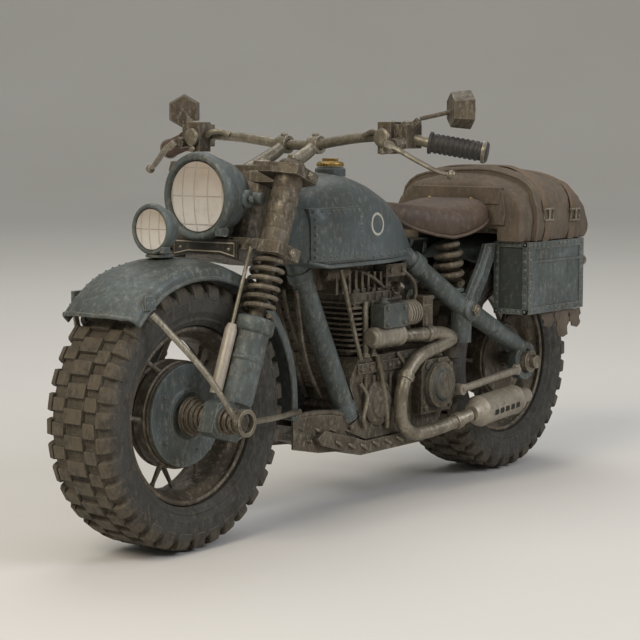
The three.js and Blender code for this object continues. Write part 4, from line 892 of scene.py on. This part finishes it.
knurl.append(block(Vector((cap_mid.x - 3.6, cap_mid.y - 0.8, cap_low.z + 1.8)),
                   Vector((cap_mid.x + 3.6, cap_mid.y + 0.8, cap_high.z - 0.2))))
piece("filler_cap", brass, knurl, node="fuel_cap", replaces=True, edge=0.15)

# Frame tubes: drawn steel tube under enamel, brazed into collars. The downtubes carry the engine and the
# rear stays meet at a gusset under the saddle, where a pressed blade goes up to the rack.
between_wheels = (front_hub.y + rear_hub.y) / 2


def place(x, y, z):
    return Vector((x, between_wheels + y, z))


for side, s in (("left", 1), ("right", -1)):
    top, foot = place(s * 8.06, -40, 99.8), place(s * 12, -13, 37.6)
    along = foot - top
    collar = lambda at, r: lathe(top + along * at, along,
                                 [(-2.2, 4.3), (-1.8, r), (1.8, r), (2.2, 4.3)], 32, closed=True)
    piece("downtube_shell_" + side, enamel, [sweep([top - along * 0.08, top.lerp(foot, 0.5), foot], 4.4,
                                                   32), collar(0.045, 5.1), collar(0.93, 5.0)],
          node="downtube_" + side, replaces=True, edge=0.15)
    knee, eye = place(s * 20.6, 59.4, 76.6), place(s * 20.6, rear_hub.y - between_wheels, rear_hub.z)
    solids = [sweep([place(s * 8.6, 26, 103.5), place(s * 20.4, 59.4, 76.4)], 4.1, 28),
              lathe(place(s * 11.4, 34, 97.0), Vector((s * 9.0, 25.4, -20.6)),
                    [(-3, 4.1), (-2.4, 5.2), (2.4, 5.2), (3, 4.1)], 28, closed=True),
              sweep([knee, knee.lerp(place(s * 20.6, 103, 56.4), 0.5), place(s * 20.6, 103, 56.4)],
                    lambda t: 4.5 - 0.9 * t, 28),
              sweep([place(s * 18.6, 59, 76), place(s * 18.6, 58.4, 62.6)], 4.5, 24),
              lathe(knee, X, [(-4.6, 0), (-4.4, 3.2), (-3.2, 4.9), (3.2, 4.9), (4.4, 3.2), (4.6, 0)],
                    28),
              lathe(eye, X, [(-2.4, 5.4), (-2.4, 8.2), (-1.9, 8.6), (1.9, 8.6), (2.4, 8.2), (2.4, 5.4)],
                    48, closed=True),
              sweep([place(s * 20.6, 100, 57.8), place(s * 20.6, 102.4, 55)], 3.6, 20),
              lathe(place(s * 13, 57, 84), Z,
                    [(0, 0), (0, 6.4), (0.5, 6.8), (1.6, 6.8), (2.0, 6.2), (2.0, 0)], 36),
              block(place(s * 16.4 - 3.5, 54, 79.6), place(s * 16.4 + 3.5, 60, 83.6))]
    blade = [(58, 79), (64, 74), (70, 80), (76.4, 88), (81.4, 97), (83.2, 104), (75, 104), (71, 96)]
    blade_x = s * 20.6 - (2.4 if s > 0 else -0.4)
    solids.append(slab(blade, place(blade_x, 0, 0), Y, Z, 2.0))
    blade_face = s * 20.6 - s * 0.4
    solids += domes([(place(blade_face, y, z), X * s)
                     for y, z in ((64.5, 78.5), (70.4, 85.4), (75.2, 92.6), (78.6, 100.6))], 0.9)
    solids.append(sweep([place(blade_face, 61.5, 78.4), place(blade_face, 72.6, 92),
                         place(blade_face, 78, 102.4)], 0.9, 8))
    piece("rear_stay_shell_" + side, enamel, solids, node="rear_stay_" + side, replaces=True, edge=0.18)
    piece("stay_bolts_" + side, bare_steel, [nut(knee + X * s * 4.7, X * s, 2.6, 1.6),
                                             nut(place(s * 24.4, 61.2, 75.8), X * s, 1.6, 1.0)],
                                             node="rear_stay_" + side)

# Engine: a finned upright twin on a cast case, all dull and oily. Fins and head are one casting, with
# bolts, plugs, push-rod tubes and a rocker cover; the case has a ribbed side and a round domed cover.
low, high = box_of("cylinder_block")
mid = (low + high) / 2


def rounded(half_x, half_y, r):
    outline = []
    for cx, cy, first in ((1, 1, 0), (-1, 1, 90), (-1, -1, 180), (1, -1, 270)):
        for i in range(5):
            a = math.radians(first + 90 * i / 4)
            outline.append((cx * (half_x - r) + r * math.cos(a), cy * (half_y - r) + r * math.sin(a)))
    return outline


solids = [slab(rounded(10.4, 15, 4), Vector((0, mid.y, low.z)), X, Y, 27)]
for k in range(10):
    z = low.z + 2.0 + k * 2.15
    solids.append(slab(rounded(14.2 - 0.05 * k, 18.2, 4), Vector((0, mid.y, z)), X, Y, 0.9))
solids.append(slab(rounded(13.2, 16.8, 3), Vector((0, mid.y, high.z - 6.6)), X, Y, 3.2))
for y in (-8.2, 8.2):
    solids.append(slab(rounded(9.6, 6.6, 3), Vector((0, mid.y + y, high.z - 3.6)), X, Y, 3.4))
    for s in (1, -1):
        solids += [nut(Vector((s * 11.4, mid.y + y + dy, high.z - 3.4)), Z, 1.3, 1.2)
                   for dy in (-6.4, 6.4)]
solids.append(block(Vector((-12.9, mid.y - 16.4, high.z - 9.4)),
                    Vector((12.9, mid.y + 16.4, high.z - 6.4))))
for k in range(4):
    y = mid.y - 7.2 + k * 4.8
    solids.append(sweep([Vector((13.3, y, high.z - 9.2)), Vector((13.3, y, high.z - 4))], 0.8, 8))
piece("cylinders", engine_metal, solids, node="cylinder_block", replaces=True, edge=0.18)

solids = []
for dy in (-11.5, -6.5):
    solids.append(sweep([Vector((15.0, mid.y + dy, low.z - 0.2)),
                         Vector((14.4, mid.y + dy + 0.6, high.z - 7))], 1.25, 14))
    solids.append(nut(Vector((15.0, mid.y + dy, low.z - 0.2)), Z, 2.0, 1.4))
plug = Vector((13.4, mid.y + 9.5, high.z - 4.4))
solids.append(lathe(plug, Vector((0.8, 0.1, 0.55)),
                    [(0, 0), (0, 1.9), (1.2, 1.9), (1.3, 1.2), (3.6, 1.1), (3.8, 1.6), (5.4, 1.4),
                     (5.8, 0.6), (5.8, 0)], 16))
piece("engine_pushrods", bare_steel, solids, node="cylinder_block", edge=0.08)

case_x = 15.0
solids = []
for i in range(5):
    y = -7 + i * 5.6
    solids.append(sweep(curve([place(case_x, y, 33), place(case_x + 0.9, y + 0.8, 42),
                               place(case_x + 0.5, y + 1.4, 54)], 4), 0.8, 8))
solids.append(slab([(-11, 55.4), (24, 55.4), (24, 59.6), (-11, 59.6)], place(case_x - 0.5, 0, 0), Y, Z,
                   1.6))
solids += [nut(place(case_x + 1.1, -9 + i * 6.2, 57.5), X, 1.25, 0.9) for i in range(6)]
solids.append(lathe(place(case_x - 0.4, 3, 42.5), X, [
    (0, 0), (0, 9.4), (1.4, 9.2), (2.2, 8.2), (2.4, 6.6), (3.4, 5.8), (3.8, 4.0), (3.9, 0)], 48))
solids += [nut(place(case_x + 1.4, 3 + 7.9 * math.cos(a), 42.5 + 7.9 * math.sin(a)), X, 0.95, 0.8)
           for a in [k * math.pi / 3 for k in range(6)]]
solids += [nut(place(20.4, y, z), X, 1.3, 1.0)
           for y, z in ((29.4, 37.6), (47.2, 37.6), (47.6, 54.4), (30.4, 55.0), (38.6, 56.4))]
round_cover = lathe(place(20.2, 38, 46.6), X, [(0, 0), (0, 9.9), (1.6, 9.7), (2.4, 8.8), (2.5, 8.0),
                                               (3.3, 7.7), (3.5, 6.7), (4.6, 6.2), (5.1, 5.2),
                                               (4.3, 4.4), (4.2, 2.0), (5.0, 1.6), (5.0, 0)], 56)
piece("round_cover", aged("stained case cover", "#555650", "#3f403a", "#2c261d", "#948b7a", 0.3, 0.46,
                          0.5, relief=0.25), [round_cover], node="crankcase", edge=0.15)
piece("case_covers", engine_metal, solids, node="crankcase", edge=0.15)
pipes = [sweep(curve([place(15.2, -21.5, 98.4), place(16.0, -19.5, 90), place(15.6, -13.6, 74),
                      place(15.8, -9.2, 61.6)], 6), 0.95, 10),
         sweep(curve([place(16.2, 1.0, 62.4), place(17.4, 2.6, 54), place(17.8, 5.6, 40),
                      place(16.2, 8.0, 32)], 6), 1.15, 12),
         sweep(curve([place(15.6, 16, 62), place(17.4, 19, 55), place(17.2, 14.4, 46),
                      place(16.4, 17.4, 36)], 6), 0.9, 10),
         sweep(curve([place(16.4, -10.4, 52), place(17.6, -7.2, 46.4), place(17.4, -9.4, 38.4),
                      place(15.6, -6.4, 33.4)], 6), 0.9, 10)]
piece("oil_pipes", bare_steel, pipes, node="crankcase")

# Front of the frame: an oil tank with ribs stands between the downtubes, and coils, a regulator and a
# cross brace fill the room under the petrol tank. All of it is dark and oily.
slope_top, slope_foot = place(0, -38.6, 97), place(0, -14.5, 41)
lean = (slope_foot - slope_top).normalized()
ahead = lean.cross(X).normalized()
across = X if lean.dot(X.cross(ahead)) > 0 else -X
solids = [slab(rounded(8.6, 3.6, 1.6), slope_top.lerp(slope_foot, 0.12) - ahead * 0.5, across, ahead,
               42)]
for k in range(9):
    at = slope_top.lerp(slope_foot, 0.16 + k * 0.078)
    solids.append(sweep([at - X * 9.2 + ahead * 3.2, at + X * 9.2 + ahead * 3.2], 0.8, 8))
    solids.append(sweep([at - X * 9.2 - ahead * 3.6, at + X * 9.2 - ahead * 3.6], 0.8, 8))
solids.append(sweep([place(-11.5, -15, 42.5), place(11.5, -15, 42.5)], 2.2, 14))
for x, bow in ((-6.4, 2.6), (-1.2, 4.4), (3.6, 3.0), (7.2, 4.2)):
    hose = []
    for t in (0.1, 0.3, 0.5, 0.7, 0.9):
        aside = x + 1.6 * math.sin(5 * t + x)
        outward = -4.4 - bow * math.sin(math.pi * t)
        hose.append(slope_top.lerp(slope_foot, t) + X * aside + Y * outward)
    solids.append(sweep(curve(hose, 5), 0.9, 10))
piece("oil_tank", grimy_steel, solids, node="main_frame", edge=0.15)
solids = []
for s in (1, -1):
    solids.append(lathe(place(s * 8.2, -24, 96.6), Y, [(0, 0), (0, 2.4), (1, 3.1), (14, 3.1), (15, 2.6),
                                                       (16.5, 1.2), (19, 1.2), (19, 0)], 24))
    solids.append(sweep(curve([place(s * 8.2, -5.4, 96.6), place(s * 9.4, 0, 96),
                               place(s * 11.6, 4.6, 93.4), place(s * 13.2, 10, 89)], 5), 0.8, 8))
    solids.append(block(place(s * 9 - 4, 12, 93.2), place(s * 9 + 4, 26, 98.4)))
    solids += [nut(place(s * 13, y, 95.8), X * s, 1.2, 0.9) for y in (15, 23)]
    solids.append(sweep(curve([place(s * 12, 25, 95), place(s * 14.6, 29, 90), place(s * 14.2, 30, 82),
                               place(s * 12.6, 26, 72)], 6), 1.0, 10))
solids.append(block(place(-6, -35, 90), place(6, 34, 100.6)))
for k in range(9):
    solids.append(block(place(-11.2, -19.4 + k * 4.2, 88), place(11.2, -18 + k * 4.2, 97.6 - 0.3 * k)))
piece("under_tank_gear", grimy_steel, solids, node="main_frame", edge=0.2)

# Carburettor and battery box on the left of the engine: a bright barrel under a float box, with a
# ribbed air cleaner behind, and a small steel box with a lid.
solids = [lathe(place(18.4, -6.5, 70), Y, [(0, 0), (0, 3.0), (0.6, 3.6), (1.4, 3.6), (1.6, 4.2),
                                           (17.6, 4.2), (17.8, 4.8), (19.4, 4.8), (19.6, 3.8),
                                           (19.6, 0)], 36)]
float_bowl = [slab([(-8, -4.4), (-7, -5), (7.6, -5), (8.6, -4.4), (8.6, 4.2), (7.6, 4.8), (-7, 4.8),
                    (-8, 4.2)], place(16.0, 6, 78.6), Y, Z, 6.2),
              lathe(place(18.8, 2, 83.4), Z,
                    [(0, 0), (0, 2.6), (0.8, 2.6), (1.0, 1.8), (2.4, 1.8), (2.4, 0)], 20)]
float_bowl += [nut(place(22.2, y, z), X, 0.95, 0.7) for y in (0.4, 12.2) for z in (75.2, 81.6)]
dull_green = aged("dull grey-green enamel", "#4f5552", "#3c413e", "#332d23", "#857e70", 0.15, 0.5, 0.5,
                  relief=0.2)
piece("float_chamber", dull_green, float_bowl, node="carburettor", edge=0.15)
air = [(0, 0), (0, 3.2), (0.8, 4.2)]
for k in range(5):
    air += [(1.2 + k * 1.7, 5.2), (2.0 + k * 1.7, 5.2), (2.2 + k * 1.7, 4.3), (2.7 + k * 1.7, 4.3)]
air += [(9.8, 3.4), (10, 0)]
solids.append(lathe(place(18.4, 14.4, 78.4), Y, air, 36))
piece("carburettor_body", aged("bright cast alloy", "#9c9587", "#777062", "#463e31", "#c9c2b3", 0.5,
                               0.42, 0.4), solids, node="carburettor", replaces=True, edge=0.15)
box_solids = [block(place(12.2, 30.2, 69), place(18.6, 37.4, 83)),
              block(place(11.8, 29.8, 82.6), place(19, 37.8, 84.2)),
              block(place(18.5, 31.6, 71.5), place(18.9, 36, 80.5))]
piece("battery_box", grimy_steel, box_solids, node="main_frame", edge=0.3)

# Exhaust: a bent steel pipe with clamps, from the cylinder round under the case into a rolled muffler
# with a row of slots. A brake rod runs above it.
route = curve([place(12.5, 13, 69), place(18.2, 25, 68.6), place(19.7, 40, 68.2), place(19.8, 49.6, 65),
               place(20, 40, 62.6), place(20.4, 24, 59), place(20.6, 14, 50),
               place(20.6, 12, 36), place(22, 19, 28.4), place(25, 37, 29.4), place(28, 51.6, 32.6)],
               10)
solids = [sweep(route, 2.85, 22)]
for at in (14, 57, 94):
    solids.append(sweep([route[at], route[at + 1], route[at + 2]], 3.5, 22))
piece("exhaust_pipe", bare_steel, solids, node="exhaust_header", replaces=True, edge=0.12)
muffler_axis = Vector((0, 0.9976, 0.07))
start = place(28, 54, 33)
drum = [(-1, 0), (-1, 3.6), (0.6, 4.0), (2.2, 5.4), (3.6, 6.3), (4.6, 6.75), (5.6, 6.4), (30.4, 6.4),
        (31.2, 6.75), (32.2, 6.4), (34.6, 5.6), (37.2, 4.0), (38.2, 3.4), (43, 3.2), (43, 2.5),
        (39, 2.3), (39, 0)]
solids = [lathe(start, muffler_axis, drum, 48)]
bleached = aged("heat-bleached steel", "#9a9384", "#756d5f", "#4a4235", "#c9c2b3", 0.45, 0.46, 0.42,
                relief=0.2)
piece("muffler_drum", bleached, solids, node="muffler", replaces=True)
# The slots are near-black capsules on the drum: painted shade for the dark inside of the openings.
slots = []
tilt = math.radians(-6)
out = Vector((math.cos(tilt), 0, math.sin(tilt)))
for k in range(5):
    centre = start + muffler_axis * (9.5 + k * 4.2) + out * 5.9
    slots.append(sweep([centre - muffler_axis * 1.3, centre + muffler_axis * 1.3], 1.5, 10, flat=0.5,
                       hint=X))
painted_slot_shade = aged("painted_slot_shade", "#221f1a", "#2a261f", "#1c1915", "#3c372e", 0.0, 0.85, 0.3)
piece("muffler_slots", painted_slot_shade, slots, node="muffler")
rod_solids = [sweep([place(24.2, 51, 43.2), place(25.6, 93, 47.4)], 1.7, 16),
              nut(place(25.6, 93.4, 47.4) - X * 1.6, X, 2.6, 2.2),
              lathe(place(21.6, 51.4, 43.2), X, [(0, 0), (0, 2.4), (3.6, 2.4), (3.6, 0)], 20)]
piece("brake_rod", bleached, rod_solids, node="main_frame")

# Belly pan: a pressed steel tray under the engine with slanted louvres along its sides. A louvred
# skirt plate covers each side ahead of the case.
pan_side = box_of("belly_pan")[1].x + 0.1
solids = []
for s in (1, -1):
    for i in range(8):
        a = place(s * pan_side, -27 + i * 8.2, 27.2)
        b = place(s * pan_side, -22.5 + i * 8.2, 24.8)
        if i == 0:
            a, b = a + Z * 3.4, b + Z * 3.4
        if i == 1:
            a, b = a + Z * 1.4, b + Z * 1.4
        solids.append(sweep([a, a.lerp(b, 0.5) + X * s * 0.5, b], lambda t: 0.5 + 1.3 * t * (1 - t), 8))
piece("pan_louvres", bare_steel, solids, node="belly_pan")

skirt_line = [(-50, 30), (-50, 41.6), (-44, 43), (-30, 42.4), (-18, 40), (-9, 36.4), (-6, 32),
              (-6, 26.4), (-16, 25), (-34, 26.6)]
solids = []
for s in (1, -1):
    solids.append(slab(skirt_line, place(12.9 if s > 0 else -13.9, 0, 0), Y, Z, 1.0))
    solids.append(sweep(curve([place(s * 13.6, y, z) for y, z in skirt_line[1:7]], 4), 1.1, 10))
    for i in range(8):
        at = place(s * 13.9, -47 + i * 5, 38.4 - i * 0.8 - (i % 2) * 4.6)
        solids.append(sweep([at, at + Vector((s * 0.5, 2.0, -1.0)), at + Vector((0, 4.0, -2.0))],
                            lambda t: 0.4 + 2.2 * t * (1 - t), 8))
piece("pan_skirt", grimy_steel, solids, node="belly_pan", edge=0.2)


# Saddle: one thick stretched leather skin with drooping flanks, a rolled edge and rivets at nose and
# cantle. It hinges at the nose and sits on two coil springs.
leather = aged("worn brown leather", "#4d3c2e", "#3c2f25", "#2a2119", "#7f6d57", 0.0, 0.56, 0.36,
               wear=0.6, grain_mm=0.7, relief=0.16)
top_line = [(21, 122.2), (22.5, 123.2), (26, 123.4), (38, 122.5), (50, 121.6), (62, 122.2), (72, 123.4),
            (77, 123.8), (80, 122.8), (81.4, 119.8)]
low_line = [(21, 120.4), (24, 118.4), (28, 116), (33, 113.2), (38, 111), (45, 108.8), (52, 107.5),
            (60, 108.8), (68, 111), (76, 113.8), (80, 116.8), (81.4, 118.8)]
wide_line = [(21, 3.2), (22.5, 4.4), (28, 6.4), (35, 9), (42, 13), (50, 18), (57, 20.6), (64, 21.6),
             (70, 21.8), (75, 20.8), (79, 17.6), (81.4, 12)]
rings = []
edges = {1: [], -1: []}
for i in range(41):
    y = 21 + 60.4 * (i / 40)
    w, zt, zb = between(wide_line, y), between(top_line, y), between(low_line, y)
    ring = []
    dip = 1.5 * math.exp(-((y - 56) / 18) ** 2)
    for k in range(17):
        u = -1 + k / 8
        drop = (zt - zb) * 0.42 * abs(u) ** 5
        ring.append(place(w * math.copysign(abs(u) ** 0.92, u), y,
                          zt - drop - dip * (1 - u * u) ** 2 * 0.6))
    for u in (1.02, 1.0, 0.94):
        ring.append(place(w * u, y, zt - (zt - zb) * {1.02: 0.66, 1.0: 0.9, 0.94: 1.0}[u]))
    for u in (0.84, 0.4, -0.4, -0.84):
        ring.append(place(w * u, y, zb + (zt - zb) * 0.2))
    for u in (0.94, 1.0, 1.02):
        ring.append(place(-w * u, y, zt - (zt - zb) * {1.02: 0.66, 1.0: 0.9, 0.94: 1.0}[u]))
    rings.append(ring)
    for s in (1, -1):
        edges[s].append(place(s * w, y, zb + 0.3))
seat = piece("saddle_skin", leather, [skin(rings)], node="saddle", replaces=True, sharp=60)
piping = edges[1] + list(reversed(edges[-1]))
edge_roll = piece("saddle_piping", leather, [sweep(piping[2:-2], 0.75, 8)], node="saddle")
rivet_heads = domes(
    [(place(s * 11 * (1 if y > 60 else 0.25), y, between(top_line, y) - (0.2 if y < 60 else 0.5)), Z)
     for s in (1, -1) for y in (24.5, 77)], 1.0)
piece("saddle_rivets", brass, rivet_heads, node="saddle")
edge_roll.parent = seat
for side, s in (("left", 1), ("right", -1)):
    wire = []
    for i in range(4 * 20 + 1):
        angle = i / 20 * 2 * math.pi
        share = i / 80
        r = 5.9 - share * 1.3
        wire.append(place(s * 13 + r * math.cos(angle), 57 + r * math.sin(angle), 87.4 + share * 17.6))
    coil = piece("saddle_coil_" + side, grimy_steel, [sweep(wire, 1.35, 10)],
                 node="saddle_spring_" + side, replaces=True)
    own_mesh(coil)


# Canvas pack: a stuffed bag on the rack whose cover drapes over both pannier lids. It has soft folds,
# a hemmed cover edge, two webbing straps with steel buckles and a pocket that faces the saddle.
canvas_cloth = aged("dusty canvas", "#675c4e", "#52493d", "#40362b", "#83776a", 0.0, 0.9, 0.36,
                    wear=0.5, grain_mm=0.5, relief=0.3)
pack_low, pack_high = box_of("canvas_pack")
skirt, half_pack = pack_low.z, pack_high.x
pack_top = [(82.2, 127.0), (83, 130), (85, 132.2), (89, 134.2), (95, 136.2), (100, 136.5), (108, 136.0),
            (118, 135.0), (126, 133.4), (131, 130.4), (134, 126.6), (136, 121.4), (137, 113)]
profile = [(0.965, 0.0), (0.985, 0.1), (0.998, 0.22), (1.0, 0.36), (0.99, 0.5), (0.965, 0.62),
           (0.92, 0.72), (0.85, 0.81), (0.75, 0.88), (0.62, 0.935), (0.47, 0.972), (0.3, 0.992),
           (0.15, 0.999), (0, 1.0)]
profile += [(-a, b) for a, b in reversed(profile[:-1])]


def pack_ring(y, swell, fold):
    top = between(pack_top, y)
    end = min(1.0, (y - 82.2) / 3.0, (137 - y) / 5.0)
    w = (half_pack - 1.0) * (0.955 + 0.045 * math.sqrt(max(0.0, end)))
    ring = []
    for k, (a, b) in enumerate(profile):
        x, z = a * w, skirt + b * (top - skirt)
        n1 = noise.noise(Vector((x * 0.055, y * 0.085, z * 0.04)) + Vector((3, 7, fold)))
        n2 = noise.noise(Vector((x * 0.03, y * 0.22, z * 0.05)) + Vector((11, 2, fold)))
        crease = (1 - abs(n2) * 2) ** 3
        push = swell + 1.5 * n1 - 0.9 * max(0.0, crease) * (0.35 + 0.65 * min(1.0, abs(a) * 1.3))
        sag = 0.7 * math.sin(z * 0.5 + y * 0.35) * (abs(a) > 0.9)
        ring.append(place(x + a * push + sag * 0.35 * a, y,
                          min(z + b * push, pack_high.z + 0.6) if b > 0 else z))
    inner = [(-0.57, skirt), (-0.565, skirt + 5.4), (0.565, skirt + 5.4), (0.57, skirt)]
    ring += [place(a * half_pack, y, z) for a, z in inner]
    return ring


bag = [pack_ring(y, -1.4, 0.0) for y in [82.6 + 0.9 * i for i in range(16)]]
cover = [pack_ring(y, 0.2, 5.0) for y in [91 + 0.95 * i for i in range(49)]]
solids = [skin(bag), skin(cover)]
hem = pack_ring(91.2, 0.5, 5.0)[:len(profile)]
solids.append(sweep(hem, 0.7, 8))
pocket_shape = [(-25, 112), (-26, 118), (-24, 126.5), (-22, 128), (22, 128), (24, 126.5), (26, 118),
                (25, 112)]
solids.append(slab(pocket_shape, place(0, 84, 0), X, Z, 2.6))
solids.append(slab([(-22.5, 121), (22.5, 121), (23.5, 128.4), (-23.5, 128.4)], place(0, 84, 0), X, Z,
                   3.3))
pack = piece("pack_canvas", canvas_cloth, solids, node="canvas_pack", replaces=True, edge=0.3, sharp=62)
webbing = aged("canvas webbing", "#6a5b4a", "#57493a", "#40352a", "#8b7c69", 0.0, 0.85, 0.3, wear=0.4,
               grain_mm=0.5, relief=0.15)
for at in (99.5, 121.5):
    over = pack_ring(at, 0.75, 5.0)[:len(profile)]
    strap = piece("pack_strap_%d" % at, webbing, [sweep(curve(over, 3), 0.55, 12, flat=4.6, hint=Y)],
                  node="canvas_pack")
    strap.parent = pack
    spot = over[3]
    buckle = piece("pack_buckle_%d" % at, bare_steel, [
        sweep([spot + Vector((0.9, dy, dz))
               for dy, dz in ((-3.6, -2.4), (3.6, -2.4), (3.6, 2.4), (-3.6, 2.4))], 0.55, 8, loop=True,
               hint=X),
        sweep([spot + Vector((1.3, 0, -2.6)), spot + Vector((1.5, 0, 2.6))], 0.45, 8)],
        node="canvas_pack")
    buckle.parent = pack

# Panniers: folded tin boxes in the same enamel. Riveted angle strips run round the faces, the front one
# frames a sunken panel whose darker enamel is painted shade, and the rear door has riveted strips, a
# hasp and a knob. Torn tails of the pack's canvas hang below the box.
# Darker copy of the blue-grey enamel: painted shade for the sunken front panel of each pannier.
recess_shade_enamel = aged("shaded enamel", "#39403e", "#323634", "#3b3529", "#6c6d64", 0.05, 0.5, 0.4)
for side, s in (("left", 1), ("right", -1)):
    low, high = box_of("pannier_" + side)
    out_x = high.x if s > 0 else low.x
    outward = X * s
    solids = []
    strip = 3.0

    def bar(y0, z0, y1, z1):
        a, b = Vector((out_x - s * 0.1, y0, z0)), Vector((out_x + s * 0.55, y1, z1))
        return block(Vector((min(a.x, b.x), y0, z0)), Vector((max(a.x, b.x), y1, z1)))

    solids += [bar(low.y, low.z, high.y, low.z + strip), bar(low.y, high.z - strip, high.y, high.z),
               bar(low.y, low.z + strip, low.y + strip, high.z - strip),
               bar(high.y - strip, low.z + strip, high.y, high.z - strip),
               bar(low.y + strip, high.z - 9.2, high.y - strip, high.z - 8.2)]
    spots = []
    for i in range(13):
        y = low.y + 1.6 + i * (high.y - low.y - 3.2) / 12
        spots += [Vector((out_x + s * 0.5, y, low.z + 1.5)), Vector((out_x + s * 0.5, y, high.z - 1.5))]
    for i in range(1, 9):
        z = low.z + 1.5 + i * (high.z - low.z - 3) / 9
        spots += [Vector((out_x + s * 0.5, low.y + 1.6, z)), Vector((out_x + s * 0.5, high.y - 1.6, z))]
    solids += domes([(p, outward) for p in spots], 0.85)
    fx0, fx1 = low.x, high.x
    front = low.y
    for x0, z0, x1, z1 in ((fx0, low.z, fx1, low.z + 2.2), (fx0, high.z - 2.2, fx1, high.z),
                           (fx0, low.z, fx0 + 2.2, high.z), (fx1 - 2.2, low.z, fx1, high.z)):
        solids.append(block(Vector((x0, front - 1.1, z0)), Vector((x1, front + 0.2, z1))))
    solids += domes([(Vector((fx0 + 1.2 + i * (fx1 - fx0 - 2.4) / 5, front - 1.1, z)), -Y)
                     for i in range(6) for z in (low.z + 1.1, high.z - 1.1)], 0.7)
    solids += domes([(Vector((x, front - 1.1, low.z + 1.1 + i * (high.z - low.z - 2.2) / 8)), -Y)
                     for i in range(1, 8) for x in (fx0 + 1.1, fx1 - 1.1)], 0.7)
    piece("pannier_trim_" + side, enamel, solids, node="pannier_" + side, edge=0.12)
    # The sunken front panel, painted darker as shade.
    piece("pannier_panel_" + side, recess_shade_enamel, [block(Vector((fx0 + 2, front - 0.3, low.z + 2)),
                                                       Vector((fx1 - 2, front + 0.1, high.z - 2)))],
          node="pannier_" + side)
    back = high.y + 1.5
    solids = [block(Vector((low.x + 1.2, back - 0.1, low.z + 3)),
                    Vector((high.x - 1.2, back + 0.35, low.z + 4.4))),
              block(Vector((low.x + 1.2, back - 0.1, high.z - 4)),
                    Vector((high.x - 1.2, back + 0.35, high.z - 2.6)))]
    solids += domes([(Vector((low.x + 2.2 + i * 2.5, back + 0.3, z)), Y) for i in range(6)
                     for z in (low.z + 3.7, high.z - 3.3)], 0.7)
    piece("door_trim_" + side, enamel, solids, node="pannier_door_" + side, edge=0.08)
    hasp = Vector(((low.x + high.x) / 2 + s * 3, back, low.z + 16))
    piece("door_hasp_" + side, bare_steel,
          [sweep([hasp + Vector((0, 1.2, 7)), hasp + Vector((0, 2.2, 2)),
                  hasp + Vector((0, 1.6, -3.4))], 1.7, 10, flat=0.35, hint=Y),
           sweep([hasp + Vector((dx, 2.6, dz))
                  for dx, dz in ((-1.9, -1.6), (1.9, -1.6), (1.9, 1.6), (-1.9, 1.6))], 0.45, 8,
                  loop=True, hint=Y)],
          node="pannier_door_" + side)
    knob = Vector((out_x - s * 3.4, back, low.z + 21))
    piece("door_knob_" + side, bare_steel,
          [lathe(knob, Y, [(-0.3, 0), (-0.3, 2.6), (0.9, 2.6), (1.3, 1.5), (2.4, 1.5), (2.9, 2.4),
                           (4.4, 2.4), (5, 1.6), (5, 0)], 24)],
          node="pannier_door_" + side)
    tails = []
    for k, (y, width, length, lean) in enumerate(((104, 11, 6.0, 2), (116, 12.5, 11.5, 3.2),
                                                  (127.6, 10.5, 8.0, 4))):
        sheet_rings = []
        for i in range(7):
            t = i / 6
            jag = 0.8 * math.sin(k * 2 + i * 2.1)
            cx = s * (33.2 + 0.8 * math.sin(t * 3 + k))
            w2 = width * (1 - 0.35 * t) / 2
            cy, cz = y + lean * t, low.z - 0.4 - length * t
            sheet_rings.append([place(cx - 0.25, cy - w2 + jag, cz),
                                place(cx - 0.25 + s * 0.5, cy, cz - 0.9 * t),
                                place(cx - 0.25, cy + w2 + jag, cz),
                                place(cx + 0.25, cy + w2 + jag, cz),
                                place(cx + 0.25 + s * 0.5, cy, cz - 0.9 * t),
                                place(cx + 0.25, cy - w2 + jag, cz)])
        tails.append(skin(sheet_rings))
    torn = piece("canvas_tails_" + side, canvas_cloth, tails, node="canvas_pack")
    torn.parent = pack

low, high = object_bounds()
